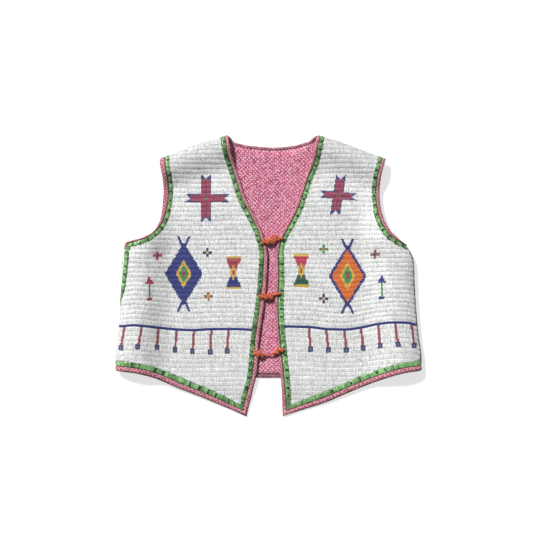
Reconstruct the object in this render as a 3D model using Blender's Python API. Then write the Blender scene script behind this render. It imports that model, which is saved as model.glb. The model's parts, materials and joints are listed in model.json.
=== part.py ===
"""A sleeveless, open-fronted vest, fully covered in lanes of small beads, laid
flat on its back with its fronts tied together.

The vest lies in the XY plane: +Y towards the neck, +X towards the wearer's
left, +Z up, and its underside rests on z = 0.  All tables and sizes are in
millimetres and are turned into metres when a mesh is made.

Each panel is a smooth surface over a two-number chart (h, t).  t runs up the
garment along the cloth, h runs outwards from the middle along the cloth, so
both stay true lengths where the cloth rolls round at the sides and over the
shoulders.
"""
import math

import bpy
import numpy as np
from mathutils import Vector
from mathutils.geometry import delaunay_2d_cdt

MM = 0.001

# ------------------------------------------------------------------ sizes
WALL = 3.0            # beaded hide with its backing
LINING = 0.8          # printed cotton
GAP = 0.3             # between pieces at a seam
LANE = 9.4            # width of the green edge lane
LANE_THICK = 1.2      # how far the edge lane stands on the panel
LOW = 8.0             # height of a front where it lies on the back
POINT_LOW = 3.6       # height of a front at its hem point, past the back hem
CENTRE = (0.0, 0.0)   # middle of the outline, which becomes the origin

# Side roll: the cloth turns round an oval, flat below, crowned above.
SIDE_CREST, SIDE_UP = 35.0, 15.0      # half width and rise above mid height
SIDE_FOOT, SIDE_MID = 20.0, 11.0      # half width below, and mid height
SIDE_FALL = 58.0                      # from the crest down to the flat
# Shoulder roll, the same along the shoulder line.
TOP_CREST, TOP_UP = 20.0, 12.0
TOP_FOOT, TOP_MID = 16.0, 10.0
TOP_FALL = 46.0

# Binding: a rounded strip of printed cotton, beyond the edge of the panel.
BIND = 5.0            # width
BIND_TOP, BIND_LOW = 1.5, -3.1        # on a front, from its outer surface
BACK_BIND_TOP, BACK_BIND_LOW = 0.0, -4.3

RIGHT, LEFT = -1, 1   # the wearer's right front is on the -X side
NAMES = {RIGHT: "right", LEFT: "left"}

# Half width of the lying vest at its sides: columns t, h.
SIDE_LINE = {
    RIGHT: [(-170, 269.4), (-140, 269.2), (-101, 266.4), (-76, 262.9),
            (-44, 261.2), (0, 261.1), (26, 261.0), (37, 259.6),
            (46, 256.8), (56, 254.0), (68, 252.6), (100, 252.6),
            (260, 254.0)],
    LEFT: [(-170, 269.6), (-143, 269.6), (-115, 265.7), (-76, 261.7),
           (-44, 259.3), (-12, 257.6), (16, 256.8), (29, 255.0),
           (38, 251.6), (47, 246.2), (56, 242.0), (68, 240.6),
           (84, 242.0), (105, 246.0), (130, 250.0), (260, 253.0)],
}
SIDE_REF = {RIGHT: 261.0, LEFT: 257.0}

# Angle round the side roll at which the side seam lies, in degrees above
# the outermost line: columns t, angle.
SEAM_LINE = {
    RIGHT: [(-170, -25.0), (-80, -25.0), (-53, -20.0), (-27, -2.0),
            (-2, 14.0), (22, 24.0), (51, 31.0)],
    LEFT: [(-170, -24.0), (-40, -24.0), (20, -23.0), (49, -20.0)],
}

# Front edge, neck to hem point: columns h, y.
FRONT_EDGE = {
    RIGHT: [(77.0, 245.1), (69.0, 203.6), (60.2, 175.2), (47.8, 139.8),
            (33.6, 111.5), (19.8, 83.2), (12.4, 55.5), (10.3, 33.6),
            (12.0, -15.9), (15.9, -44.2), (21.2, -86.7), (25.7, -122.1),
            (29.6, -171.7), (35.0, -200.0), (44.2, -240.7)],
    LEFT: [(91.2, 244.9), (81.4, 203.6), (69.8, 175.2), (58.2, 139.8),
           (47.4, 111.5), (33.6, 83.2), (21.0, 57.0), (17.3, 33.6),
           (16.9, -1.8), (16.4, -44.2), (17.8, -86.7), (20.9, -122.1),
           (26.0, -171.7), (28.5, -200.0), (31.9, -240.7)],
}
# Hem of a front, point to side: columns h, y.
HEM_LINE = {
    RIGHT: [(44.2, -240.7), (78.8, -226.0), (126.6, -205.0),
            (176.1, -183.2), (199.1, -174.7), (222.1, -168.6),
            (242.5, -165.0), (266.0, -162.4)],
    LEFT: [(31.9, -240.7), (80.5, -225.4), (108.9, -215.1),
           (156.6, -194.4), (192.0, -180.4), (220.4, -170.5),
           (240.0, -165.6), (266.0, -162.0)],
}
HEM_SIDE_T = {RIGHT: -161.5, LEFT: -161.0}
# Armhole of a front, from the underarm up to the shoulder: columns h, y.
ARMHOLE = {
    RIGHT: [(249.6, 54.9), (229.2, 61.3), (210.6, 69.4), (195.2, 83.2),
            (186.4, 97.3), (182.0, 111.5), (178.6, 126.0),
            (176.8, 150.0), (178.8, 175.2), (183.4, 200.0), (183.4, 207.6)],
    LEFT: [(235.0, 57.4), (217.2, 69.0), (205.9, 83.2),
           (198.8, 97.3), (194.6, 111.5), (191.8, 128.0),
           (191.2, 150.4), (193.7, 175.2), (200.0, 200.0), (202.4, 205.6)],
}
UNDERARM_T = {RIGHT: 50.6, LEFT: 49.0}
# Shoulder line, the outermost line of the shoulder roll: columns h, y.
SHOULDER = {
    RIGHT: [(30.0, 257.0), (77.0, 245.6), (89.4, 242.3), (126.6, 231.4),
            (149.6, 222.4), (183.2, 208.4), (230.0, 188.0)],
    LEFT: [(30.0, 259.0), (91.2, 245.4), (110.6, 241.2), (137.2, 232.2),
           (165.5, 221.4), (201.8, 206.6), (245.0, 188.0)],
}
# Neckline of the back, the wearer's right to left: columns x, y.
BACK_NECK = [(-70.6, 236.5), (-62.5, 229.6), (-52.0, 226.0), (-27.4, 223.4),
             (6.2, 220.4), (29.2, 221.6), (50.4, 224.6), (66.0, 228.6),
             (80.5, 236.0)]
BACK_HEM_MIDDLE = -177.0
BACK_INSET = 3.0      # the back's armholes lie this far inside the fronts'

# Ties: columns x, y, radius, lift over the lining, from the wearer's right
# to the left.  The ends lie on the green lanes.
TIES = {
    "tie_top": [(-13.4, 55.8, 1.1, 7.0), (-9.6, 57.6, 1.9, 7.8),
                (-4.5, 58.6, 3.0, 7.4), (1.0, 59.6, 3.0, 6.9),
                (6.5, 62.0, 2.6, 6.9), (12.0, 64.6, 2.9, 7.0),
                (17.0, 65.6, 2.4, 7.6), (22.0, 64.6, 1.6, 7.7),
                (27.0, 65.2, 1.1, 7.0)],
    "tie_middle": [(-15.6, -41.0, 1.1, 7.0), (-11.0, -39.8, 1.9, 7.8),
                   (-6.0, -37.6, 3.0, 7.2), (-1.0, -37.0, 3.0, 6.6),
                   (4.5, -37.4, 2.3, 6.6), (9.5, -34.8, 2.2, 7.2),
                   (14.5, -33.2, 2.0, 8.0), (18.5, -32.8, 1.7, 7.8),
                   (23.0, -33.0, 1.1, 7.0)],
    "tie_bottom": [(-27.6, -138.2, 1.1, 7.0), (-22.0, -138.8, 1.9, 7.8),
                   (-16.0, -139.8, 2.6, 6.6), (-10.0, -141.0, 2.6, 5.4),
                   (-4.0, -141.6, 1.7, 4.6), (3.0, -142.0, 1.7, 4.6),
                   (8.5, -140.4, 2.0, 5.4), (14.0, -136.0, 2.0, 7.2),
                   (21.0, -132.6, 1.9, 8.0), (28.4, -131.2, 1.1, 7.0)],
}

COLOURS = {
    "white_beads": (0.80, 0.80, 0.79), "green_beads": (0.13, 0.36, 0.11),
    "calico": (0.62, 0.22, 0.31), "tie": (0.72, 0.16, 0.05),
}


# ------------------------------------------------------------------ curves
def hermite(knots, values, x):
    """A smooth curve through a table's rows, with gentle slopes."""
    knots, values = np.asarray(knots, float), np.asarray(values, float)
    x = np.clip(np.asarray(x, float), knots[0], knots[-1])
    step = np.diff(knots)
    rise = np.diff(values) / step
    slope = np.empty(len(knots))
    slope[0], slope[-1] = rise[0], rise[-1]
    same = rise[:-1] * rise[1:] > 0
    slope[1:-1] = np.where(
        same, 2 * rise[:-1] * rise[1:] / np.where(same, rise[:-1] + rise[1:], 1), 0
    )
    i = np.clip(np.searchsorted(knots, x, side="right") - 1, 0, len(step) - 1)
    u = (x - knots[i]) / step[i]
    return (
        values[i] * (1 + 2 * u) * (1 - u) ** 2
        + slope[i] * step[i] * u * (1 - u) ** 2
        + values[i + 1] * u * u * (3 - 2 * u)
        - slope[i + 1] * step[i] * u * u * (1 - u)
    )


def table(rows, x):
    rows = sorted(rows)
    return hermite([r[0] for r in rows], [r[1] for r in rows], x)


def spline(points, fine=12):
    """Catmull-Rom through points in the plane, as a dense polyline."""
    p = np.asarray(points, float)
    if len(p) < 3:
        return p
    ends = np.vstack([2 * p[0] - p[1], p, 2 * p[-1] - p[-2]])
    out = []
    for i in range(1, len(ends) - 2):
        a, b, c, d = ends[i - 1:i + 3]
        k = [0.0]
        for m, n in ((a, b), (b, c), (c, d)):
            k.append(k[-1] + max(np.linalg.norm(n - m), 1e-6) ** 0.5)
        for u in np.linspace(k[1], k[2], fine, endpoint=False):
            ab = (k[1] - u) / (k[1] - k[0]) * a + (u - k[0]) / (k[1] - k[0]) * b
            bc = (k[2] - u) / (k[2] - k[1]) * b + (u - k[1]) / (k[2] - k[1]) * c
            cd = (k[3] - u) / (k[3] - k[2]) * c + (u - k[2]) / (k[3] - k[2]) * d
            m = (k[2] - u) / (k[2] - k[0]) * ab + (u - k[0]) / (k[2] - k[0]) * bc
            n = (k[3] - u) / (k[3] - k[1]) * bc + (u - k[1]) / (k[3] - k[1]) * cd
            out.append((k[2] - u) / (k[2] - k[1]) * m + (u - k[1]) / (k[2] - k[1]) * n)
    return np.vstack(out + [p[-1]])


def along(line, shares):
    """Points at shares, from 0 to 1, of a polyline's length."""
    run = np.concatenate([[0], np.cumsum(np.linalg.norm(np.diff(line, axis=0), axis=1))])
    at = np.asarray(shares) * run[-1]
    return np.column_stack([np.interp(at, run, line[:, i]) for i in range(2)])


def ease(x):
    x = np.clip(x, 0, 1)
    return x * x * (3 - 2 * x)


class Oval:
    """Half an oval seen end on: angle -90 degrees at the floor, 0 at the
    outermost line, 90 at the crest.  arc is counted from the outermost line."""

    def __init__(self, crest, up, foot, mid):
        self.crest, self.up, self.foot, self.mid = crest, up, foot, mid
        self.angle = np.radians(np.linspace(-90, 90, 721))
        self.inset, self.height = self.place(self.angle)
        step = np.hypot(np.diff(self.inset), np.diff(self.height))
        arc = np.concatenate([[0], np.cumsum(step)])
        self.arc = arc - np.interp(0, self.angle, arc)
        self.over, self.under = self.arc[-1], -self.arc[0]

    def place(self, angle):
        top = angle >= 0
        wide = np.where(top, self.crest, self.foot) * (1 - np.cos(angle))
        return wide, self.mid + np.where(top, self.up, self.mid) * np.sin(angle)

    def at(self, arc):
        """(how far in from the outermost line, height), flat past the ends."""
        inset = np.interp(arc, self.arc, self.inset)
        inset = inset + np.maximum(arc - self.over, 0) + np.maximum(-self.under - arc, 0)
        return inset, np.interp(arc, self.arc, self.height)

    def arc_at(self, degrees):
        return np.interp(np.radians(degrees), self.angle, self.arc)

    def arc_over(self, inset):
        """The arc on the upper side at this inset."""
        top = self.angle >= 0
        arc = np.interp(inset, self.inset[top], self.arc[top])
        return arc + np.maximum(inset - self.crest, 0)

    def arc_under(self, inset):
        """The arc, below zero, on the lower side at this inset."""
        low = self.angle <= 0
        arc = np.interp(inset, self.inset[low][::-1], self.arc[low][::-1])
        return arc - np.maximum(inset - self.foot, 0)


SIDE = Oval(SIDE_CREST, SIDE_UP, SIDE_FOOT, SIDE_MID)
TOP = Oval(TOP_CREST, TOP_UP, TOP_FOOT, TOP_MID)


# ----------------------------------------------------------------- surfaces
def lift(t):
    """How much of the side roll is left above the underarm."""
    return 1 - 0.72 * ease((t - 52.0) / 105.0)


def low(h, y):
    """Height of a front where it lies down: on the back, then on the floor."""
    return LOW + (POINT_LOW - LOW) * ease((-190.0 - y) / 48.0)


def front(side, h, t):
    """Outer surface of a front: chart to (x, y, z)."""
    h, t = np.broadcast_arrays(np.asarray(h, float), np.asarray(t, float))
    arc = SIDE_REF[side] + SIDE.over - SIDE_CREST - h
    inset, rise = SIDE.at(arc)
    keep = 1 - ease((arc - SIDE.over) / 115.0)
    wide = SIDE_REF[side] + (table(SIDE_LINE[side], t) - SIDE_REF[side]) * keep - inset
    ridge = table(SHOULDER[side], wide)
    past = t - (ridge - TOP_CREST)
    over = TOP.over - past
    in_top, up = TOP.at(over)
    y = np.where(past > 0, ridge - in_top, t)
    base = low(wide, y)
    fall = 1 - ease((arc - SIDE.over) / SIDE_FALL)
    side_bump = np.where(
        arc < SIDE.over, rise - LOW, (SIDE_UP + SIDE_MID - LOW) * fall
    ) * lift(t)
    top_fall = 1 - ease(-past / TOP_FALL)
    top_bump = np.where(past > 0, up - LOW, (TOP_UP + TOP_MID - LOW) * top_fall)
    share = np.clip(side_bump, 0, None) / (SIDE_UP + SIDE_MID - LOW)
    z = base + side_bump + top_bump * (1 - share)
    return np.stack([side * wide, y, z], axis=-1)


def back(side, h, t):
    """Outer surface of the back, which faces down: chart to (x, y, z)."""
    h, t = np.broadcast_arrays(np.asarray(h, float), np.asarray(t, float))
    arc = SIDE_REF[side] + SIDE.under - SIDE_FOOT - h
    inset, rise = SIDE.at(-arc)
    keep = 1 - ease((arc - SIDE.under) / 115.0)
    wide = SIDE_REF[side] + (table(SIDE_LINE[side], t) - SIDE_REF[side]) * keep - inset
    ridge = table(SHOULDER[side], wide)
    past = t - (ridge - TOP_FOOT)
    in_top, up = TOP.at(past - TOP.under)
    y = np.where(past > 0, ridge - in_top, t)
    z = rise + np.where(past > 0, up, 0)
    return np.stack([side * wide, y, z], axis=-1)


def back_whole(q, t):
    """The same over one chart, with q from the wearer's right to the left."""
    q, t = np.broadcast_arrays(np.asarray(q, float), np.asarray(t, float))
    return np.where((q < 0)[..., None], back(RIGHT, -q, t), back(LEFT, q, t))


def normals(surface, a, b, outward):
    e = 0.05
    da = surface(a + e, b) - surface(a - e, b)
    db = surface(a, b + e) - surface(a, b - e)
    n = np.cross(da, db) * outward
    return n / np.linalg.norm(n, axis=-1, keepdims=True)


def chart_of(side, points, on_back=False):
    """Turns plan points (h, y) on the upper (or lower) side into (h, t)."""
    out = []
    for wide, y in points:
        ridge = float(table(SHOULDER[side], wide))
        if on_back:
            foot = ridge - TOP_FOOT
            t = y if y <= foot else foot + TOP.under + float(
                TOP.arc_under(min(max(ridge - y, 0), TOP_FOOT)))
        else:
            crest = ridge - TOP_CREST
            t = y if y <= crest else crest + TOP.over - float(
                TOP.arc_over(min(max(ridge - y, 0), TOP_CREST)))
        chart = np.linspace(0, 300, 6001)
        surface = back if on_back else front
        ref = SIDE.under - SIDE_FOOT if on_back else SIDE.over - SIDE_CREST
        flat = surface(side, chart, t)[:, 0] * side
        good = chart <= SIDE_REF[side] + ref
        out.append((float(np.interp(wide, flat[good], chart[good])), t))
    return out


def seam_points(side, shares, on_back=False):
    """Chart points of the side seam, from the hem to the underarm."""
    t = HEM_SIDE_T[side] + (UNDERARM_T[side] - HEM_SIDE_T[side]) * shares
    return np.column_stack([seam(side, t, on_back), t])


def seam(side, t, on_back=False):
    """Chart h of the side seam, on the front or on the back."""
    arc = SIDE.arc_at(table(SEAM_LINE[side], t))
    if on_back:
        return SIDE_REF[side] + SIDE.under - SIDE_FOOT + arc - GAP
    return SIDE_REF[side] + SIDE.over - SIDE_CREST - arc


def shoulder_t(side, h, on_back=False):
    """Chart t of the shoulder seam, half a gap short of the outermost line."""
    h = np.atleast_1d(np.asarray(h, float))
    surface = back if on_back else front
    t = np.full(len(h), 245.0)
    for _ in range(3):
        ridge = table(SHOULDER[side], side * surface(side, h, t)[:, 0])
        t = ridge + (TOP.under - TOP_FOOT if on_back else TOP.over - TOP_CREST)
    return t - GAP / 2


# ------------------------------------------------------------------ outlines
def front_outline(side):
    """The four edges of a front's chart outline, as dense polylines."""
    edge = spline(chart_of(side, FRONT_EDGE[side]))
    edge[0, 1] = shoulder_t(side, edge[0, 0])[0]
    hem_side = (float(seam(side, HEM_SIDE_T[side])), HEM_SIDE_T[side])
    hem = spline(chart_of(side, HEM_LINE[side][:-1]) + [hem_side])
    side_line = seam_points(side, SIDE_ROWS)
    corner = (float(seam(side, UNDERARM_T[side])), UNDERARM_T[side])
    arm = spline([corner] + chart_of(side, ARMHOLE[side]))
    arm[-1, 1] = shoulder_t(side, arm[-1, 0])[0]
    return edge, hem, side_line, arm


def left_of(vectors):
    return np.column_stack([-vectors[:, 1], vectors[:, 0]])


def inset_points(line, distance, corner_limit=3.0, first=None, last=None):
    """Moves an open polyline to its left, mitred where it turns.  first and
    last are the ways its end points take, where they follow another edge."""
    step = np.diff(line, axis=0)
    step /= np.linalg.norm(step, axis=1, keepdims=True)
    side = left_of(step)
    before = np.vstack([side[:1], side])
    after = np.vstack([side, side[-1:]])
    mean = before + after
    mean /= np.linalg.norm(mean, axis=1, keepdims=True)
    stretch = np.minimum(1 / np.maximum((mean * before).sum(1), 0.2), corner_limit)
    for k, way in ((0, first), (-1, last)):
        if way is not None:
            way = np.asarray(way, float) / np.linalg.norm(way)
            mean[k], stretch[k] = -way, 1 / max(-way @ side[k], 0.3)
    return line + mean * (stretch * distance)[:, None]


def gap_to(points, loop):
    """Shortest way from each point to a closed loop."""
    start, way = loop, np.roll(loop, -1, axis=0) - loop
    reach = points[:, None] - start[None]
    share = np.clip((reach * way).sum(-1) / (way * way).sum(-1), 0, 1)
    return np.linalg.norm(reach - share[..., None] * way, axis=-1).min(axis=1)


def within(points, loop):
    a, b = loop[None], np.roll(loop, -1, axis=0)[None]
    p = points[:, None]
    spans = (a[..., 1] > p[..., 1]) != (b[..., 1] > p[..., 1])
    rise = np.where(b[..., 1] == a[..., 1], 1.0, b[..., 1] - a[..., 1])
    cross = a[..., 0] + (p[..., 1] - a[..., 1]) / rise * (b[..., 0] - a[..., 0])
    return (spans & (p[..., 0] < cross)).sum(axis=1) % 2 == 1


def fill(loop, lattice, clear_by=5.5):
    """Triangles over a closed loop of chart points and the lattice points
    well inside it.  The loop's points come first."""
    keep = within(lattice, loop) & (gap_to(lattice, loop) > clear_by)
    points = np.vstack([loop, lattice[keep]])
    count = len(loop)
    sides = [(k, (k + 1) % count) for k in range(count)]
    _, _, faces, old, _, _ = delaunay_2d_cdt(
        [Vector(p) for p in points], sides, [], 1, 1e-7)
    out = []
    for face in faces:
        a, b, c = (old[k][0] for k in face)
        (ax, ay), (bx, by), (cx, cy) = points[a], points[b], points[c]
        turn = (bx - ax) * (cy - ay) - (by - ay) * (cx - ax)
        out.append((a, b, c) if turn > 0 else (a, c, b))
    return points, out


def lattice(columns, rows, top_rows, shoulder):
    """Chart points at columns by rows; top_rows are counted down from the
    shoulder seam, and replace the rows they come near."""
    out = []
    for h in columns:
        ridge = float(shoulder(h))
        out += [(h, ridge - down) for down in top_rows]
        out += [(h, t) for t in rows if t < ridge - top_rows[-1] - 9.0]
    return np.array(out)


# Shares of each edge's length at which the faceted panels have points.
EDGE_LOW = np.array([0, .1, .22, .36, .5, .64, .78, .9, 1])
SIDE_ROWS = np.array([0, .075, .17, .28, .39, .5, .61, .72, .83, .92, 1])
EDGE_HIGH = np.array([0, .12, .25, .38, .5, .62, .74, .86, .93, 1])
ARM_HIGH = np.array([0, .047, .095, .15, .21, .3, .41, .53, .66, .8, .91, 1])
ACROSS = np.array([0, .2, .42, .6, .73, .81, .87, .915, .953, 1])
EDGE_TURN_T = 40.0    # where the front edge meets the underarm's row


def front_stations(side):
    """Outline points of a front, from the neck round to the shoulder tip,
    and the index of each corner."""
    edge, hem, side_line, arm = front_outline(side)
    turn = np.argmin(abs(edge[:, 1] - EDGE_TURN_T))
    upper, lower = edge[:turn + 1], edge[turn:]
    line = [along(upper, 1 - EDGE_HIGH[::-1])[:-1], along(lower, 1 - EDGE_LOW[::-1])[:-1],
            along(hem, ACROSS)[:-1], side_line[:-1],
            along(arm, ARM_HIGH)]
    ends = np.cumsum([len(part) for part in line])
    return np.vstack(line), {
        "point": ends[1], "hem_end": ends[2], "underarm": ends[3], "tip": ends[4] - 1}


def ring_points(side, line):
    """The inner side of the green lane all round, for each outline point."""
    inner = inset_points(line, LANE)
    for k, other in ((0, 1), (-1, -2)):
        tip = line[k]
        reach = tip[0] + (18.0 if k == 0 else -18.0)
        shoulder = np.array([reach, shoulder_t(side, reach)[0]]) - tip
        shoulder /= np.linalg.norm(shoulder)
        down = line[other] - tip
        down /= np.linalg.norm(down)
        cross = abs(shoulder[0] * down[1] - shoulder[1] * down[0])
        place = tip + shoulder * LANE / cross
        place[1] = shoulder_t(side, place[0])[0]
        inner[k] = place
    return inner


# Where the faceted fronts have inner points: arcs in from the outermost line
# of the side roll, rows t, and rows counted down from the shoulder seam.
FRONT_ARCS = (-12, -4, 4, 12, 20, 28, 36, 46, 58, 73, 92, 118, 148, 180, 212, 238)
FRONT_ROWS = (-226, -212, -198, -184, -170, -154, -136, -110, -84, -56, -28,
              -4, 20, 36, 48, 60, 76, 94, 114, 134, 154)
FRONT_TOP_ROWS = (5, 11, 18, 26, 36, 48, 62, 78)


def front_parts(side):
    """Outline and lane ring of a front, and its faceted chart."""
    line, at = front_stations(side)
    inner = ring_points(side, line)
    columns = SIDE_REF[side] + SIDE.over - SIDE_CREST - np.array(FRONT_ARCS)
    across = np.linspace(inner[-1, 0], inner[0, 0], 8)[1:-1]
    top = np.column_stack([across, shoulder_t(side, across)])
    loop = np.vstack([inner, top])
    points, faces = fill(loop, lattice(
        columns, FRONT_ROWS, FRONT_TOP_ROWS, lambda h: shoulder_t(side, h)[0]))
    first = len(points)
    chart = np.vstack([points, line])
    for k in range(len(line) - 1):
        faces.append((first + k, first + k + 1, k + 1))
        faces.append((first + k, k + 1, k))
    return line, inner, at, chart, faces


# ------------------------------------------------------------------- objects
def clear():
    for block in (bpy.data.objects, bpy.data.meshes, bpy.data.curves,
                  bpy.data.materials, bpy.data.collections):
        for item in list(block):
            block.remove(item)


def material(name):
    found = bpy.data.materials.get(name)
    if found:
        return found
    made = bpy.data.materials.new(name)
    made.use_nodes = True
    shader = made.node_tree.nodes["Principled BSDF"]
    shader.inputs["Base Color"].default_value = (*COLOURS[name], 1)
    shader.inputs["Roughness"].default_value = 0.35 if "beads" in name else 0.85
    shader.inputs["Metallic"].default_value = 0
    return made


def place(name, data, paint, home):
    data.materials.clear()
    data.materials.append(material(paint))
    thing = bpy.data.objects.new(name, data)
    home.objects.link(thing)
    return thing


def mesh_of(name, points, faces, flip=False):
    """Points in millimetres, and faces as corner numbers."""
    data = bpy.data.meshes.new(name)
    shift = np.array([CENTRE[0], CENTRE[1], 0])
    corners = (np.asarray(points) - shift) * MM
    if flip:
        faces = [tuple(reversed(f)) for f in faces]
    data.from_pydata([tuple(p) for p in corners], [], [tuple(f) for f in faces])
    data.validate()
    return data


def wall(name, surface, outward, chart, faces, low_side, high_side, paint, home):
    """A closed wall over part of a surface, between two heights above it."""
    points = surface(chart[:, 0], chart[:, 1])
    out = normals(surface, chart[:, 0], chart[:, 1], outward)
    both = np.vstack([points + out * high_side, points + out * low_side])
    count = len(chart)
    closed = list(faces) + [tuple(k + count for k in reversed(f)) for f in faces]
    edges = {pair for f in faces for pair in zip(f, f[1:] + f[:1])}
    # The rim is split the same way on both sides of a seam.
    for a, b in sorted(edges):
        if (b, a) in edges:
            continue
        if chart[a, 1] < chart[b, 1]:
            closed += [(b, a, b + count), (a, a + count, b + count)]
        else:
            closed += [(b, a, a + count), (b, a + count, b + count)]
    return place(name, mesh_of(name, both, closed, outward < 0), paint, home)


def make_front(side, home):
    line, inner, at, chart, faces = front_parts(side)
    wall(f"front_{NAMES[side]}", lambda a, b: front(side, a, b), side, chart,
         faces, -WALL, 0.0, "white_beads", home)
    return line, inner, at


def make_lane(name, side, line, inner, home):
    """A strip of green edge lane over one stretch of the ring."""
    outer, inside = line.copy(), inner.copy()
    for end, near in ((0, 1), (-1, -2)):
        # a gap at each end, where the next stretch begins
        for strip in (outer, inside):
            way = strip[near] - strip[end]
            strip[end] += way / np.linalg.norm(way) * GAP
    chart = np.vstack([outer + (inside - outer) * share for share in (0.05, 0.97)])
    n = len(line)
    faces = []
    for k in range(n - 1):
        faces += [(k, k + 1, n + k + 1), (k, n + k + 1, n + k)]
    wall(name, lambda a, b: front(side, a, b), side, chart, faces, GAP,
         GAP + LANE_THICK, "green_beads", home)


def armhole_gap(line, from_end=False):
    """Wider where an armhole binding starts, at the underarm's corner."""
    run = np.concatenate([[0], np.cumsum(np.linalg.norm(np.diff(line, axis=0), axis=1))])
    if from_end:
        run = run[-1] - run
    return 0.4 + 0.8 * (1 - ease((run - 14.0) / 18.0))


def true_width(surface, line, moved):
    """What moved must be multiplied by, to be one millimetre off the line
    where the cloth is drawn in and its chart is askew."""
    e = 0.2
    step = np.diff(line, axis=0)
    step /= np.linalg.norm(step, axis=1, keepdims=True)
    step = np.vstack([step[:1], step])
    here = surface(line[:, 0], line[:, 1])
    way = surface(*(line - step * e).T) - here
    way /= np.linalg.norm(way, axis=1, keepdims=True)
    off = (surface(*(line + moved * e).T) - here) / e
    off -= (off * way).sum(1)[:, None] * way
    return np.clip(1 / np.linalg.norm(off, axis=1), 0.85, 1.8)


def make_binding(name, surface, outward, line, widths, top, bottom, home, flip,
                 first=None, last=None, gap=GAP):
    """A rounded strip swept along an edge, on the right of the line's way."""
    middle, half = (top + bottom) / 2, (top - bottom) / 2
    moved = inset_points(line, -1.0, first=first, last=last) - line
    moved *= true_width(surface, line, moved)[:, None]
    section = [(0.0, 0.42), (0.22, 1.0), (0.74, 1.0), (1.0, 0.3),
               (1.0, -0.4), (0.74, -1.0), (0.1, -1.0)]
    rings = []
    for out, up in section:
        chart = line + moved * (gap + out * widths)[:, None]
        points = surface(chart[:, 0], chart[:, 1])
        points += normals(surface, chart[:, 0], chart[:, 1], outward) * (
            middle + half * up)
        rings.append(points)
    rings = np.stack(rings, axis=1)
    stops, sides = rings.shape[:2]
    faces = [
        (k * sides + j, k * sides + (j + 1) % sides,
         (k + 1) * sides + (j + 1) % sides, (k + 1) * sides + j)
        for k in range(stops - 1) for j in range(sides)
    ]
    faces.append(tuple(range(sides))[::-1])
    faces.append(tuple((stops - 1) * sides + j for j in range(sides)))
    place(name, mesh_of(name, rings.reshape(-1, 3), faces, flip), "calico", home)


def trimmed(line, start, end):
    """Shortens a polyline at its ends by these lengths."""
    run = np.concatenate([[0], np.cumsum(np.linalg.norm(np.diff(line, axis=0), axis=1))])
    stop = run[-1] - end
    keep = (run > start + 1) & (run < stop - 1)
    at = np.concatenate([[start], run[keep], [stop]])
    return np.column_stack([np.interp(at, run, line[:, i]) for i in range(2)])


def back_outline():
    """Left, right, bottom and top edges of the back in its chart (q, t)."""
    sides = {}
    for side in (RIGHT, LEFT):
        seam_line = seam_points(side, SIDE_ROWS, True)
        arm_plan = []
        for h, y in ARMHOLE[side][1:]:
            arm_plan.append((h - BACK_INSET, y + 0.0))
        foot = chart_of(side, arm_plan, on_back=True)
        arm = spline([tuple(seam_line[-1])] + foot)
        arm[-1, 1] = shoulder_t(side, arm[-1, 0], True)[0]
        sides[side] = (seam_line, arm)
    neck = []
    for x, y in BACK_NECK:
        side = RIGHT if x < 0 else LEFT
        h, t = chart_of(side, [(abs(x), y)], on_back=True)[0]
        neck.append((side * h, t))
    for side, k in ((RIGHT, 0), (LEFT, -1)):
        h = chart_of(side, [FRONT_EDGE[side][0]], on_back=True)[0][0]
        end = (side * h, float(shoulder_t(side, h, True)[0]))
        neck.insert(0 if k == 0 else len(neck), end)
    hem = spline([
        (-sides[RIGHT][0][0, 0], HEM_SIDE_T[RIGHT]), (-238.0, -163.6),
        (-205.0, -167.6), (-120.0, -174.0), (0.0, BACK_HEM_MIDDLE),
        (120.0, -174.0), (205.0, -167.4), (238.0, -163.2),
        (sides[LEFT][0][0, 0], HEM_SIDE_T[LEFT])])
    return sides, spline(neck), hem


# Stations of the back's edges, and where it has inner points: arcs in from
# the outermost line, rows t, and rows counted down from the shoulder seam.
BACK_EDGE_IN = np.array([0, 6.0, 13.0, 20.0, 28.0, 40.0, 66.0])
BACK_ROWS_ARM = np.array([0, .05, .1, .2, .3, .42, .56, .7, .82, .92, 1])
BACK_ARCS = (-20, -13, -6, 1, 8, 15, 22, 28, 44, 74, 116, 160, 204, 248)
BACK_ROWS = (-164, -152, -136, -110, -84, -56, -28, -4, 20, 36, 48, 60, 76,
             96, 120, 146, 172)
BACK_TOP_ROWS = (4.5, 10, 15.5, 21, 27, 40, 58)
BACK_RING = 2.0       # the lining ends this far inside the back's outline


def back_edges():
    """Outline of the back by its four edges, each with its stations."""
    sides, neck, hem = back_outline()
    edges = {}
    for side in (RIGHT, LEFT):
        low_part = sides[side][0]
        high_part = along(sides[side][1], BACK_ROWS_ARM)[1:]
        both = np.vstack([low_part, high_part])
        both[:, 0] *= side
        edges[side] = both
    width = edges[LEFT][0, 0] - edges[RIGHT][0, 0]
    near = BACK_EDGE_IN / width
    across = np.concatenate([near, [.22, .32, .42, .5, .58, .68, .78], 1 - near[::-1]])
    bottom = along(hem, across)
    # The top edge: shoulder, neck, shoulder, by the same columns.
    tops = []
    for side, ends in ((RIGHT, (edges[RIGHT][-1], neck[0])),
                       (LEFT, (neck[-1], edges[LEFT][-1]))):
        q = np.linspace(ends[0][0], ends[1][0], 40)
        tops.append(np.column_stack([q, shoulder_t(side, q * side, True)]))
    cuts = (6, 14)   # columns where the neckline begins and ends
    first = along(tops[0], (across[:cuts[0] + 1]) / across[cuts[0]])
    middle = along(neck, (across[cuts[0]:cuts[1] + 1] - across[cuts[0]])
                   / (across[cuts[1]] - across[cuts[0]]))
    last = along(tops[1], (across[cuts[1]:] - across[cuts[1]]) / (1 - across[cuts[1]]))
    top = np.vstack([first, middle[1:-1], last])
    return edges, bottom, top, cuts


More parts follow.
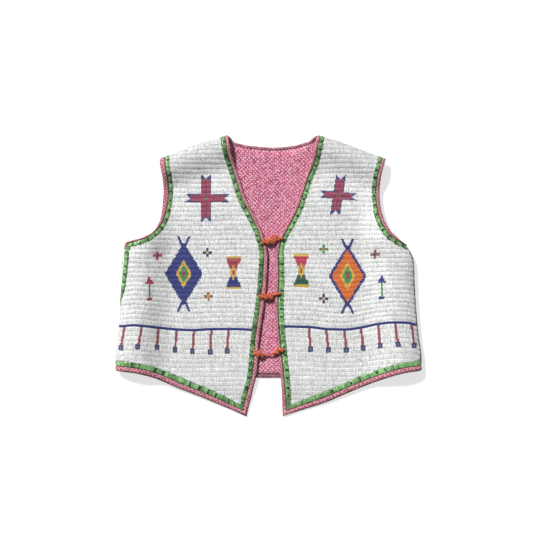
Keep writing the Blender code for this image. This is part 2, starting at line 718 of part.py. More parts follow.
def make_back(home):
    edges, bottom, top, cuts = back_edges()
    line = np.vstack([bottom[:-1], edges[LEFT][:-1], top[::-1][:-1],
                      edges[RIGHT][::-1][:-1]])
    closed = np.vstack([line[-1:], line, line[:1]])
    ring = inset_points(closed, BACK_RING)[1:-1]
    grids = []
    for side in (RIGHT, LEFT):
        h = SIDE_REF[side] + SIDE.under - SIDE_FOOT - np.array(BACK_ARCS)
        part = lattice(h, BACK_ROWS, BACK_TOP_ROWS,
                       lambda x, side=side: shoulder_t(side, x, True)[0])
        grids.append(part * (side, 1))
    points, faces = fill(ring, np.vstack(grids))
    lined = list(faces)
    first = len(points)
    chart = np.vstack([points, line])
    count = len(line)
    for k in range(count):
        n = (k + 1) % count
        faces += [(first + k, first + n, n), (first + k, n, k)]
    wall("back", back_whole, -1, chart, faces, -WALL, 0.0, "white_beads", home)
    top_side = -(WALL + GAP)
    wall("back_lining", back_whole, -1, points, lined, top_side - LINING,
         top_side, "calico", home)
    return edges, bottom, top, cuts


def shoulder_way(side, h, on_back=False):
    """The way of the shoulder seam in the chart, outwards."""
    t = shoulder_t(side, [h - 4.0, h + 4.0], on_back)
    return np.array([8.0, t[1] - t[0]])


def make_bindings(home, front_lines):
    for side in (RIGHT, LEFT):
        line, at = front_lines[side]
        surface = lambda a, b, side=side: front(side, a, b)
        edge = trimmed(line[:at["hem_end"] + 1], 0.2, 0.2)
        make_binding(f"edge_binding_{NAMES[side]}", surface, side, edge,
                     np.full(len(edge), BIND), BIND_TOP, BIND_LOW, home,
                     side == RIGHT, first=-shoulder_way(side, edge[0, 0]),
                     last=(0, -1))
        arm = trimmed(line[at["underarm"]:], 0.6, 0.2)
        run = np.concatenate([[0], np.cumsum(np.linalg.norm(np.diff(arm, axis=0), axis=1))])
        widths = 2.4 + (BIND - 2.4) * ease((run - 20.0) / 45.0)
        make_binding(f"armhole_binding_{NAMES[side]}", surface, side, arm,
                     widths, BIND_TOP, BIND_LOW, home, side == RIGHT,
                     first=(0, 1), last=shoulder_way(side, arm[-1, 0]),
                     gap=armhole_gap(arm))


def make_back_bindings(home, edges, bottom, top, cuts):
    corner = len(SIDE_ROWS) - 1
    neck = trimmed(top[cuts[0]:cuts[1] + 1][::-1], 0.9, 0.9)
    arms = {RIGHT: trimmed(edges[RIGHT][corner:], 0.6, 0.4)[::-1],
            LEFT: trimmed(edges[LEFT][corner:], 0.6, 0.4)}
    ways = {}
    for side, h in ((RIGHT, -neck[-1, 0]), (LEFT, neck[0, 0])):
        ways[side] = shoulder_way(side, h, True) * (side, 1)
    tips = {}
    for side in (RIGHT, LEFT):
        tip = arms[side][0 if side == RIGHT else -1]
        tips[side] = shoulder_way(side, side * tip[0], True) * (side, 1)
    strips = (
        ("hem_binding_back", trimmed(bottom, 0.2, 0.2), BIND, (0, -1), (0, -1), 0.4),
        ("neck_binding_back", neck, BIND, -ways[LEFT], -ways[RIGHT], 0.4),
        ("armhole_binding_back_right", arms[RIGHT], 3.6, tips[RIGHT], (0, 1),
         armhole_gap(arms[RIGHT], True)),
        ("armhole_binding_back_left", arms[LEFT], 3.6, (0, 1), tips[LEFT],
         armhole_gap(arms[LEFT])),
    )
    for name, line, width, first, last, gap in strips:
        make_binding(name, back_whole, -1, line, np.full(len(line), width),
                     BACK_BIND_TOP, BACK_BIND_LOW, home, True, first, last, gap)


def make_tie(name, rows, home):
    curve = bpy.data.curves.new(name, "CURVE")
    curve.dimensions = "3D"
    curve.bevel_depth = MM
    curve.bevel_resolution = 2
    curve.use_fill_caps = True
    rows = np.asarray(rows, float)
    share = np.arange(len(rows))
    fine = np.linspace(0, len(rows) - 1, 2 * len(rows) - 1)
    smooth = np.column_stack([hermite(share, rows[:, i], fine) for i in range(4)])
    line = curve.splines.new("POLY")
    line.points.add(len(smooth) - 1)
    base = WALL + GAP + LINING
    for point, (x, y, radius, up) in zip(line.points, smooth):
        point.co = ((x - CENTRE[0]) * MM, (y - CENTRE[1]) * MM, (base + up) * MM, 1)
        point.radius = radius
    place(name, curve, "tie", home)


def build():
    clear()
    scene = bpy.context.scene
    scene.unit_settings.system = "METRIC"
    home = bpy.data.collections.new("beaded_vest")
    scene.collection.children.link(home)
    front_lines = {}
    for side in (RIGHT, LEFT):
        line, inner, at = make_front(side, home)
        front_lines[side] = (line, at)
        name = NAMES[side]
        stretches = {
            "edge_lane": (0, at["point"]), "hem_lane": (at["point"], at["hem_end"]),
            "side_lane": (at["hem_end"], at["underarm"]),
            "armhole_lane": (at["underarm"], at["tip"])}
        for what, (a, b) in stretches.items():
            make_lane(f"{what}_{name}", side, line[a:b + 1], inner[a:b + 1], home)
    edges, bottom, top, cuts = make_back(home)
    make_bindings(home, front_lines)
    make_back_bindings(home, edges, bottom, top, cuts)
    for name, rows in TIES.items():
        make_tie(name, rows, home)
    bpy.context.view_layer.update()


build()
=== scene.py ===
"""The beaded vest's visible model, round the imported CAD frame.

The vest lies flat on its back, fronts up and tied.  Sizes and tables are in
millimetres and become metres when a mesh is made; the surfaces are the same
charts as the solids', and the beadwork, binding and lining are laid on them.
"""
import json
import math

import bpy
import numpy as np
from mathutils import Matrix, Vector
from mathutils.geometry import delaunay_2d_cdt

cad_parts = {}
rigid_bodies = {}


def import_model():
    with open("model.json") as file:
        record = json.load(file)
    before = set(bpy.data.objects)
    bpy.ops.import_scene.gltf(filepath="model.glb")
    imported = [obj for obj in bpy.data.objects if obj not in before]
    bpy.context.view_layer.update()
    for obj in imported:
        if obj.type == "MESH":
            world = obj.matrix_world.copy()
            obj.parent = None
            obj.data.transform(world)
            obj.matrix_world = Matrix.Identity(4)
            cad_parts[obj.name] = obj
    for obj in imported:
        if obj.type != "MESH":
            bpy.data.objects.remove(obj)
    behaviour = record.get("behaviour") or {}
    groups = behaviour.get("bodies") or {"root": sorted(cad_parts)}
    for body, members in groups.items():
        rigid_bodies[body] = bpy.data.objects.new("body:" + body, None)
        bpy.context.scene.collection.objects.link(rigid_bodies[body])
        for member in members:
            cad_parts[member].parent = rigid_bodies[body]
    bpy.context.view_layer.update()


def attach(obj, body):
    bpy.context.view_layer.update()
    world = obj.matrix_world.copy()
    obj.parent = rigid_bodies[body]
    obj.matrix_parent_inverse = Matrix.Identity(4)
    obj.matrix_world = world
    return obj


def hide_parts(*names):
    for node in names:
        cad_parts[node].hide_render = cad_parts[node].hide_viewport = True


MM = 0.001

# ------------------------------------------------------------------ sizes
WALL = 3.0            # beaded hide with its backing
LINING = 0.8          # printed cotton
GAP = 0.3             # between pieces at a seam
LANE = 9.4            # width of the green edge lane
LANE_THICK = 1.2      # how far the edge lane stands on the panel
LOW = 8.0             # height of a front where it lies on the back
POINT_LOW = 3.6       # height of a front at its hem point, past the back hem
CENTRE = (0.0, 0.0)   # middle of the outline, which becomes the origin

# Side roll: the cloth turns round an oval, flat below, crowned above.
SIDE_CREST, SIDE_UP = 35.0, 15.0      # half width and rise above mid height
SIDE_FOOT, SIDE_MID = 20.0, 11.0      # half width below, and mid height
SIDE_FALL = 58.0                      # from the crest down to the flat
# Shoulder roll, the same along the shoulder line.
TOP_CREST, TOP_UP = 20.0, 12.0
TOP_FOOT, TOP_MID = 16.0, 10.0
TOP_FALL = 46.0

# Binding: a rounded strip of printed cotton, beyond the edge of the panel.
BIND = 5.0            # width
BIND_TOP, BIND_LOW = 1.5, -3.1        # on a front, from its outer surface
BACK_BIND_TOP, BACK_BIND_LOW = 0.0, -4.3

RIGHT, LEFT = -1, 1   # the wearer's right front is on the -X side
NAMES = {RIGHT: "right", LEFT: "left"}

# Half width of the lying vest at its sides: columns t, h.
SIDE_LINE = {
    RIGHT: [(-170, 269.4), (-140, 269.2), (-101, 266.4), (-76, 262.9),
            (-44, 261.2), (0, 261.1), (26, 261.0), (37, 259.6),
            (46, 256.8), (56, 254.0), (68, 252.6), (100, 252.6),
            (260, 254.0)],
    LEFT: [(-170, 269.6), (-143, 269.6), (-115, 265.7), (-76, 261.7),
           (-44, 259.3), (-12, 257.6), (16, 256.8), (29, 255.0),
           (38, 251.6), (47, 246.2), (56, 242.0), (68, 240.6),
           (84, 242.0), (105, 246.0), (130, 250.0), (260, 253.0)],
}
SIDE_REF = {RIGHT: 261.0, LEFT: 257.0}

# Angle round the side roll at which the side seam lies, in degrees above
# the outermost line: columns t, angle.
SEAM_LINE = {
    RIGHT: [(-170, -25.0), (-80, -25.0), (-53, -20.0), (-27, -2.0),
            (-2, 14.0), (22, 24.0), (51, 31.0)],
    LEFT: [(-170, -24.0), (-40, -24.0), (20, -23.0), (49, -20.0)],
}

# Front edge, neck to hem point: columns h, y.
FRONT_EDGE = {
    RIGHT: [(77.0, 245.1), (69.0, 203.6), (60.2, 175.2), (47.8, 139.8),
            (33.6, 111.5), (19.8, 83.2), (12.4, 55.5), (10.3, 33.6),
            (12.0, -15.9), (15.9, -44.2), (21.2, -86.7), (25.7, -122.1),
            (29.6, -171.7), (35.0, -200.0), (44.2, -240.7)],
    LEFT: [(91.2, 244.9), (81.4, 203.6), (69.8, 175.2), (58.2, 139.8),
           (47.4, 111.5), (33.6, 83.2), (21.0, 57.0), (17.3, 33.6),
           (16.9, -1.8), (16.4, -44.2), (17.8, -86.7), (20.9, -122.1),
           (26.0, -171.7), (28.5, -200.0), (31.9, -240.7)],
}
# Hem of a front, point to side: columns h, y.
HEM_LINE = {
    RIGHT: [(44.2, -240.7), (78.8, -226.0), (126.6, -205.0),
            (176.1, -183.2), (199.1, -174.7), (222.1, -168.6),
            (242.5, -165.0), (266.0, -162.4)],
    LEFT: [(31.9, -240.7), (80.5, -225.4), (108.9, -215.1),
           (156.6, -194.4), (192.0, -180.4), (220.4, -170.5),
           (240.0, -165.6), (266.0, -162.0)],
}
HEM_SIDE_T = {RIGHT: -161.5, LEFT: -161.0}
# Armhole of a front, from the underarm up to the shoulder: columns h, y.
ARMHOLE = {
    RIGHT: [(249.6, 54.9), (229.2, 61.3), (210.6, 69.4), (195.2, 83.2),
            (186.4, 97.3), (182.0, 111.5), (178.6, 126.0),
            (176.8, 150.0), (178.8, 175.2), (183.4, 200.0), (183.4, 207.6)],
    LEFT: [(235.0, 57.4), (217.2, 69.0), (205.9, 83.2),
           (198.8, 97.3), (194.6, 111.5), (191.8, 128.0),
           (191.2, 150.4), (193.7, 175.2), (200.0, 200.0), (202.4, 205.6)],
}
UNDERARM_T = {RIGHT: 50.6, LEFT: 49.0}
# Shoulder line, the outermost line of the shoulder roll: columns h, y.
SHOULDER = {
    RIGHT: [(30.0, 257.0), (77.0, 245.6), (89.4, 242.3), (126.6, 231.4),
            (149.6, 222.4), (183.2, 208.4), (230.0, 188.0)],
    LEFT: [(30.0, 259.0), (91.2, 245.4), (110.6, 241.2), (137.2, 232.2),
           (165.5, 221.4), (201.8, 206.6), (245.0, 188.0)],
}
# Neckline of the back, the wearer's right to left: columns x, y.
BACK_NECK = [(-70.6, 236.5), (-62.5, 229.6), (-52.0, 226.0), (-27.4, 223.4),
             (6.2, 220.4), (29.2, 221.6), (50.4, 224.6), (66.0, 228.6),
             (80.5, 236.0)]
BACK_HEM_MIDDLE = -177.0
BACK_INSET = 3.0      # the back's armholes lie this far inside the fronts'

# Ties: columns x, y, radius, lift over the lining, from the wearer's right
# to the left.  The ends lie on the green lanes.
TIES = {
    "tie_top": [(-13.4, 55.8, 1.1, 7.0), (-9.6, 57.6, 1.9, 7.8),
                (-4.5, 58.6, 3.0, 7.4), (1.0, 59.6, 3.0, 6.9),
                (6.5, 62.0, 2.6, 6.9), (12.0, 64.6, 2.9, 7.0),
                (17.0, 65.6, 2.4, 7.6), (22.0, 64.6, 1.6, 7.7),
                (27.0, 65.2, 1.1, 7.0)],
    "tie_middle": [(-15.6, -41.0, 1.1, 7.0), (-11.0, -39.8, 1.9, 7.8),
                   (-6.0, -37.6, 3.0, 7.2), (-1.0, -37.0, 3.0, 6.6),
                   (4.5, -37.4, 2.3, 6.6), (9.5, -34.8, 2.2, 7.2),
                   (14.5, -33.2, 2.0, 8.0), (18.5, -32.8, 1.7, 7.8),
                   (23.0, -33.0, 1.1, 7.0)],
    "tie_bottom": [(-27.6, -138.2, 1.1, 7.0), (-22.0, -138.8, 1.9, 7.8),
                   (-16.0, -139.8, 2.6, 6.6), (-10.0, -141.0, 2.6, 5.4),
                   (-4.0, -141.6, 1.7, 4.6), (3.0, -142.0, 1.7, 4.6),
                   (8.5, -140.4, 2.0, 5.4), (14.0, -136.0, 2.0, 7.2),
                   (21.0, -132.6, 1.9, 8.0), (28.4, -131.2, 1.1, 7.0)],
}

# ------------------------------------------------------------------ curves
def hermite(knots, values, x):
    """A smooth curve through a table's rows, with gentle slopes."""
    knots, values = np.asarray(knots, float), np.asarray(values, float)
    x = np.clip(np.asarray(x, float), knots[0], knots[-1])
    step = np.diff(knots)
    rise = np.diff(values) / step
    slope = np.empty(len(knots))
    slope[0], slope[-1] = rise[0], rise[-1]
    same = rise[:-1] * rise[1:] > 0
    slope[1:-1] = np.where(
        same, 2 * rise[:-1] * rise[1:] / np.where(same, rise[:-1] + rise[1:], 1), 0
    )
    i = np.clip(np.searchsorted(knots, x, side="right") - 1, 0, len(step) - 1)
    u = (x - knots[i]) / step[i]
    return (
        values[i] * (1 + 2 * u) * (1 - u) ** 2
        + slope[i] * step[i] * u * (1 - u) ** 2
        + values[i + 1] * u * u * (3 - 2 * u)
        - slope[i + 1] * step[i] * u * u * (1 - u)
    )


def table(rows, x):
    rows = sorted(rows)
    return hermite([r[0] for r in rows], [r[1] for r in rows], x)


def spline(points, fine=12):
    """Catmull-Rom through points in the plane, as a dense polyline."""
    p = np.asarray(points, float)
    if len(p) < 3:
        return p
    ends = np.vstack([2 * p[0] - p[1], p, 2 * p[-1] - p[-2]])
    out = []
    for i in range(1, len(ends) - 2):
        a, b, c, d = ends[i - 1:i + 3]
        k = [0.0]
        for m, n in ((a, b), (b, c), (c, d)):
            k.append(k[-1] + max(np.linalg.norm(n - m), 1e-6) ** 0.5)
        for u in np.linspace(k[1], k[2], fine, endpoint=False):
            ab = (k[1] - u) / (k[1] - k[0]) * a + (u - k[0]) / (k[1] - k[0]) * b
            bc = (k[2] - u) / (k[2] - k[1]) * b + (u - k[1]) / (k[2] - k[1]) * c
            cd = (k[3] - u) / (k[3] - k[2]) * c + (u - k[2]) / (k[3] - k[2]) * d
            m = (k[2] - u) / (k[2] - k[0]) * ab + (u - k[0]) / (k[2] - k[0]) * bc
            n = (k[3] - u) / (k[3] - k[1]) * bc + (u - k[1]) / (k[3] - k[1]) * cd
            out.append((k[2] - u) / (k[2] - k[1]) * m + (u - k[1]) / (k[2] - k[1]) * n)
    return np.vstack(out + [p[-1]])


def along(line, shares):
    """Points at shares, from 0 to 1, of a polyline's length."""
    run = np.concatenate([[0], np.cumsum(np.linalg.norm(np.diff(line, axis=0), axis=1))])
    at = np.asarray(shares) * run[-1]
    return np.column_stack([np.interp(at, run, line[:, i]) for i in range(2)])


def ease(x):
    x = np.clip(x, 0, 1)
    return x * x * (3 - 2 * x)


class Oval:
    """Half an oval seen end on: angle -90 degrees at the floor, 0 at the
    outermost line, 90 at the crest.  arc is counted from the outermost line."""

    def __init__(self, crest, up, foot, mid):
        self.crest, self.up, self.foot, self.mid = crest, up, foot, mid
        self.angle = np.radians(np.linspace(-90, 90, 721))
        self.inset, self.height = self.place(self.angle)
        step = np.hypot(np.diff(self.inset), np.diff(self.height))
        arc = np.concatenate([[0], np.cumsum(step)])
        self.arc = arc - np.interp(0, self.angle, arc)
        self.over, self.under = self.arc[-1], -self.arc[0]

    def place(self, angle):
        top = angle >= 0
        wide = np.where(top, self.crest, self.foot) * (1 - np.cos(angle))
        return wide, self.mid + np.where(top, self.up, self.mid) * np.sin(angle)

    def at(self, arc):
        """(how far in from the outermost line, height), flat past the ends."""
        inset = np.interp(arc, self.arc, self.inset)
        inset = inset + np.maximum(arc - self.over, 0) + np.maximum(-self.under - arc, 0)
        return inset, np.interp(arc, self.arc, self.height)

    def arc_at(self, degrees):
        return np.interp(np.radians(degrees), self.angle, self.arc)

    def arc_over(self, inset):
        """The arc on the upper side at this inset."""
        top = self.angle >= 0
        arc = np.interp(inset, self.inset[top], self.arc[top])
        return arc + np.maximum(inset - self.crest, 0)

    def arc_under(self, inset):
        """The arc, below zero, on the lower side at this inset."""
        low = self.angle <= 0
        arc = np.interp(inset, self.inset[low][::-1], self.arc[low][::-1])
        return arc - np.maximum(inset - self.foot, 0)


SIDE = Oval(SIDE_CREST, SIDE_UP, SIDE_FOOT, SIDE_MID)
TOP = Oval(TOP_CREST, TOP_UP, TOP_FOOT, TOP_MID)


# ----------------------------------------------------------------- surfaces
def lift(t):
    """How much of the side roll is left above the underarm."""
    return 1 - 0.72 * ease((t - 52.0) / 105.0)


def low(h, y):
    """Height of a front where it lies down: on the back, then on the floor."""
    return LOW + (POINT_LOW - LOW) * ease((-190.0 - y) / 48.0)


def front(side, h, t):
    """Outer surface of a front: chart to (x, y, z)."""
    h, t = np.broadcast_arrays(np.asarray(h, float), np.asarray(t, float))
    arc = SIDE_REF[side] + SIDE.over - SIDE_CREST - h
    inset, rise = SIDE.at(arc)
    keep = 1 - ease((arc - SIDE.over) / 115.0)
    wide = SIDE_REF[side] + (table(SIDE_LINE[side], t) - SIDE_REF[side]) * keep - inset
    ridge = table(SHOULDER[side], wide)
    past = t - (ridge - TOP_CREST)
    over = TOP.over - past
    in_top, up = TOP.at(over)
    y = np.where(past > 0, ridge - in_top, t)
    base = low(wide, y)
    fall = 1 - ease((arc - SIDE.over) / SIDE_FALL)
    side_bump = np.where(
        arc < SIDE.over, rise - LOW, (SIDE_UP + SIDE_MID - LOW) * fall
    ) * lift(t)
    top_fall = 1 - ease(-past / TOP_FALL)
    top_bump = np.where(past > 0, up - LOW, (TOP_UP + TOP_MID - LOW) * top_fall)
    share = np.clip(side_bump, 0, None) / (SIDE_UP + SIDE_MID - LOW)
    z = base + side_bump + top_bump * (1 - share)
    return np.stack([side * wide, y, z], axis=-1)


def back(side, h, t):
    """Outer surface of the back, which faces down: chart to (x, y, z)."""
    h, t = np.broadcast_arrays(np.asarray(h, float), np.asarray(t, float))
    arc = SIDE_REF[side] + SIDE.under - SIDE_FOOT - h
    inset, rise = SIDE.at(-arc)
    keep = 1 - ease((arc - SIDE.under) / 115.0)
    wide = SIDE_REF[side] + (table(SIDE_LINE[side], t) - SIDE_REF[side]) * keep - inset
    ridge = table(SHOULDER[side], wide)
    past = t - (ridge - TOP_FOOT)
    in_top, up = TOP.at(past - TOP.under)
    y = np.where(past > 0, ridge - in_top, t)
    z = rise + np.where(past > 0, up, 0)
    return np.stack([side * wide, y, z], axis=-1)


def back_whole(q, t):
    """The same over one chart, with q from the wearer's right to the left."""
    q, t = np.broadcast_arrays(np.asarray(q, float), np.asarray(t, float))
    return np.where((q < 0)[..., None], back(RIGHT, -q, t), back(LEFT, q, t))


def normals(surface, a, b, outward):
    e = 0.05
    da = surface(a + e, b) - surface(a - e, b)
    db = surface(a, b + e) - surface(a, b - e)
    n = np.cross(da, db) * outward
    return n / np.linalg.norm(n, axis=-1, keepdims=True)


def chart_of(side, points, on_back=False):
    """Turns plan points (h, y) on the upper (or lower) side into (h, t)."""
    out = []
    for wide, y in points:
        ridge = float(table(SHOULDER[side], wide))
        if on_back:
            foot = ridge - TOP_FOOT
            t = y if y <= foot else foot + TOP.under + float(
                TOP.arc_under(min(max(ridge - y, 0), TOP_FOOT)))
        else:
            crest = ridge - TOP_CREST
            t = y if y <= crest else crest + TOP.over - float(
                TOP.arc_over(min(max(ridge - y, 0), TOP_CREST)))
        chart = np.linspace(0, 300, 6001)
        surface = back if on_back else front
        ref = SIDE.under - SIDE_FOOT if on_back else SIDE.over - SIDE_CREST
        flat = surface(side, chart, t)[:, 0] * side
        good = chart <= SIDE_REF[side] + ref
        out.append((float(np.interp(wide, flat[good], chart[good])), t))
    return out


def seam_points(side, shares, on_back=False):
    """Chart points of the side seam, from the hem to the underarm."""
    t = HEM_SIDE_T[side] + (UNDERARM_T[side] - HEM_SIDE_T[side]) * shares
    return np.column_stack([seam(side, t, on_back), t])


def seam(side, t, on_back=False):
    """Chart h of the side seam, on the front or on the back."""
    arc = SIDE.arc_at(table(SEAM_LINE[side], t))
    if on_back:
        return SIDE_REF[side] + SIDE.under - SIDE_FOOT + arc - GAP
    return SIDE_REF[side] + SIDE.over - SIDE_CREST - arc


def shoulder_t(side, h, on_back=False):
    """Chart t of the shoulder seam, half a gap short of the outermost line."""
    h = np.atleast_1d(np.asarray(h, float))
    surface = back if on_back else front
    t = np.full(len(h), 245.0)
    for _ in range(3):
        ridge = table(SHOULDER[side], side * surface(side, h, t)[:, 0])
        t = ridge + (TOP.under - TOP_FOOT if on_back else TOP.over - TOP_CREST)
    return t - GAP / 2


# ------------------------------------------------------------------ outlines
def front_outline(side):
    """The four edges of a front's chart outline, as dense polylines."""
    edge = spline(chart_of(side, FRONT_EDGE[side]))
    edge[0, 1] = shoulder_t(side, edge[0, 0])[0]
    hem_side = (float(seam(side, HEM_SIDE_T[side])), HEM_SIDE_T[side])
    hem = spline(chart_of(side, HEM_LINE[side][:-1]) + [hem_side])
    side_line = seam_points(side, SIDE_ROWS)
    corner = (float(seam(side, UNDERARM_T[side])), UNDERARM_T[side])
    arm = spline([corner] + chart_of(side, ARMHOLE[side]))
    arm[-1, 1] = shoulder_t(side, arm[-1, 0])[0]
    return edge, hem, side_line, arm


def left_of(vectors):
    return np.column_stack([-vectors[:, 1], vectors[:, 0]])


def inset_points(line, distance, corner_limit=3.0, first=None, last=None):
    """Moves an open polyline to its left, mitred where it turns.  first and
    last are the ways its end points take, where they follow another edge."""
    step = np.diff(line, axis=0)
    step /= np.linalg.norm(step, axis=1, keepdims=True)
    side = left_of(step)
    before = np.vstack([side[:1], side])
    after = np.vstack([side, side[-1:]])
    mean = before + after
    mean /= np.linalg.norm(mean, axis=1, keepdims=True)
    stretch = np.minimum(1 / np.maximum((mean * before).sum(1), 0.2), corner_limit)
    for k, way in ((0, first), (-1, last)):
        if way is not None:
            way = np.asarray(way, float) / np.linalg.norm(way)
            mean[k], stretch[k] = -way, 1 / max(-way @ side[k], 0.3)
    return line + mean * (stretch * distance)[:, None]


def gap_to(points, loop):
    """Shortest way from each point to a closed loop."""
    start, way = loop, np.roll(loop, -1, axis=0) - loop
    reach = points[:, None] - start[None]
    share = np.clip((reach * way).sum(-1) / (way * way).sum(-1), 0, 1)
    return np.linalg.norm(reach - share[..., None] * way, axis=-1).min(axis=1)


def within(points, loop):
    a, b = loop[None], np.roll(loop, -1, axis=0)[None]
    p = points[:, None]
    spans = (a[..., 1] > p[..., 1]) != (b[..., 1] > p[..., 1])
    rise = np.where(b[..., 1] == a[..., 1], 1.0, b[..., 1] - a[..., 1])
    cross = a[..., 0] + (p[..., 1] - a[..., 1]) / rise * (b[..., 0] - a[..., 0])
    return (spans & (p[..., 0] < cross)).sum(axis=1) % 2 == 1


def fill(loop, lattice, clear_by=5.5):
    """Triangles over a closed loop of chart points and the lattice points
    well inside it.  The loop's points come first."""
    keep = within(lattice, loop) & (gap_to(lattice, loop) > clear_by)
    points = np.vstack([loop, lattice[keep]])
    count = len(loop)
    sides = [(k, (k + 1) % count) for k in range(count)]
    _, _, faces, old, _, _ = delaunay_2d_cdt(
        [Vector(p) for p in points], sides, [], 1, 1e-7)
    out = []
    for face in faces:
        a, b, c = (old[k][0] for k in face)
        (ax, ay), (bx, by), (cx, cy) = points[a], points[b], points[c]
        turn = (bx - ax) * (cy - ay) - (by - ay) * (cx - ax)
        out.append((a, b, c) if turn > 0 else (a, c, b))
    return points, out


def lattice(columns, rows, top_rows, shoulder):
    """Chart points at columns by rows; top_rows are counted down from the
    shoulder seam, and replace the rows they come near."""
    out = []
    for h in columns:
        ridge = float(shoulder(h))
        out += [(h, ridge - down) for down in top_rows]
        out += [(h, t) for t in rows if t < ridge - top_rows[-1] - 9.0]
    return np.array(out)


# Shares of each edge's length at which the faceted panels have points.
EDGE_LOW = np.array([0, .1, .22, .36, .5, .64, .78, .9, 1])
SIDE_ROWS = np.array([0, .075, .17, .28, .39, .5, .61, .72, .83, .92, 1])
EDGE_HIGH = np.array([0, .12, .25, .38, .5, .62, .74, .86, .93, 1])
ARM_HIGH = np.array([0, .047, .095, .15, .21, .3, .41, .53, .66, .8, .91, 1])
ACROSS = np.array([0, .2, .42, .6, .73, .81, .87, .915, .953, 1])
EDGE_TURN_T = 40.0    # where the front edge meets the underarm's row


def front_stations(side):
    """Outline points of a front, from the neck round to the shoulder tip,
    and the index of each corner."""
    edge, hem, side_line, arm = front_outline(side)
    turn = np.argmin(abs(edge[:, 1] - EDGE_TURN_T))
    upper, lower = edge[:turn + 1], edge[turn:]
    line = [along(upper, 1 - EDGE_HIGH[::-1])[:-1], along(lower, 1 - EDGE_LOW[::-1])[:-1],
            along(hem, ACROSS)[:-1], side_line[:-1],
            along(arm, ARM_HIGH)]
    ends = np.cumsum([len(part) for part in line])
    return np.vstack(line), {
        "point": ends[1], "hem_end": ends[2], "underarm": ends[3], "tip": ends[4] - 1}


def ring_points(side, line):
    """The inner side of the green lane all round, for each outline point."""
    inner = inset_points(line, LANE)
    for k, other in ((0, 1), (-1, -2)):
        tip = line[k]
        reach = tip[0] + (18.0 if k == 0 else -18.0)
        shoulder = np.array([reach, shoulder_t(side, reach)[0]]) - tip
        shoulder /= np.linalg.norm(shoulder)
        down = line[other] - tip
        down /= np.linalg.norm(down)
        cross = abs(shoulder[0] * down[1] - shoulder[1] * down[0])
        place = tip + shoulder * LANE / cross
        place[1] = shoulder_t(side, place[0])[0]
        inner[k] = place
    return inner


# Where the faceted fronts have inner points: arcs in from the outermost line
# of the side roll, rows t, and rows counted down from the shoulder seam.
FRONT_ARCS = (-12, -4, 4, 12, 20, 28, 36, 46, 58, 73, 92, 118, 148, 180, 212, 238)
FRONT_ROWS = (-226, -212, -198, -184, -170, -154, -136, -110, -84, -56, -28,
              -4, 20, 36, 48, 60, 76, 94, 114, 134, 154)
FRONT_TOP_ROWS = (5, 11, 18, 26, 36, 48, 62, 78)


def front_parts(side):
    """Outline and lane ring of a front, and its faceted chart."""
    line, at = front_stations(side)
    inner = ring_points(side, line)
    columns = SIDE_REF[side] + SIDE.over - SIDE_CREST - np.array(FRONT_ARCS)
    across = np.linspace(inner[-1, 0], inner[0, 0], 8)[1:-1]
    top = np.column_stack([across, shoulder_t(side, across)])
    loop = np.vstack([inner, top])
    points, faces = fill(loop, lattice(
        columns, FRONT_ROWS, FRONT_TOP_ROWS, lambda h: shoulder_t(side, h)[0]))
    first = len(points)
    chart = np.vstack([points, line])
    for k in range(len(line) - 1):
        faces.append((first + k, first + k + 1, k + 1))
        faces.append((first + k, k + 1, k))
    return line, inner, at, chart, faces


def armhole_gap(line, from_end=False):
    """Wider where an armhole binding starts, at the underarm's corner."""
    run = np.concatenate([[0], np.cumsum(np.linalg.norm(np.diff(line, axis=0), axis=1))])
    if from_end:
        run = run[-1] - run
    return 0.4 + 0.8 * (1 - ease((run - 14.0) / 18.0))


def true_width(surface, line, moved):
    """What moved must be multiplied by, to be one millimetre off the line
    where the cloth is drawn in and its chart is askew."""
    e = 0.2
    step = np.diff(line, axis=0)
    step /= np.linalg.norm(step, axis=1, keepdims=True)
    step = np.vstack([step[:1], step])
    here = surface(line[:, 0], line[:, 1])
    way = surface(*(line - step * e).T) - here
    way /= np.linalg.norm(way, axis=1, keepdims=True)
    off = (surface(*(line + moved * e).T) - here) / e
    off -= (off * way).sum(1)[:, None] * way
    return np.clip(1 / np.linalg.norm(off, axis=1), 0.85, 1.8)


def trimmed(line, start, end):
    """Shortens a polyline at its ends by these lengths."""
    run = np.concatenate([[0], np.cumsum(np.linalg.norm(np.diff(line, axis=0), axis=1))])
    stop = run[-1] - end
    keep = (run > start + 1) & (run < stop - 1)
    at = np.concatenate([[start], run[keep], [stop]])
    return np.column_stack([np.interp(at, run, line[:, i]) for i in range(2)])


def back_outline():
    """Left, right, bottom and top edges of the back in its chart (q, t)."""
    sides = {}
    for side in (RIGHT, LEFT):
        seam_line = seam_points(side, SIDE_ROWS, True)
        arm_plan = []
        for h, y in ARMHOLE[side][1:]:
            arm_plan.append((h - BACK_INSET, y + 0.0))
        foot = chart_of(side, arm_plan, on_back=True)
        arm = spline([tuple(seam_line[-1])] + foot)
        arm[-1, 1] = shoulder_t(side, arm[-1, 0], True)[0]
        sides[side] = (seam_line, arm)
    neck = []
    for x, y in BACK_NECK:
        side = RIGHT if x < 0 else LEFT
        h, t = chart_of(side, [(abs(x), y)], on_back=True)[0]
        neck.append((side * h, t))
    for side, k in ((RIGHT, 0), (LEFT, -1)):
        h = chart_of(side, [FRONT_EDGE[side][0]], on_back=True)[0][0]
        end = (side * h, float(shoulder_t(side, h, True)[0]))
        neck.insert(0 if k == 0 else len(neck), end)
    hem = spline([
        (-sides[RIGHT][0][0, 0], HEM_SIDE_T[RIGHT]), (-238.0, -163.6),
        (-205.0, -167.6), (-120.0, -174.0), (0.0, BACK_HEM_MIDDLE),
        (120.0, -174.0), (205.0, -167.4), (238.0, -163.2),
        (sides[LEFT][0][0, 0], HEM_SIDE_T[LEFT])])
    return sides, spline(neck), hem


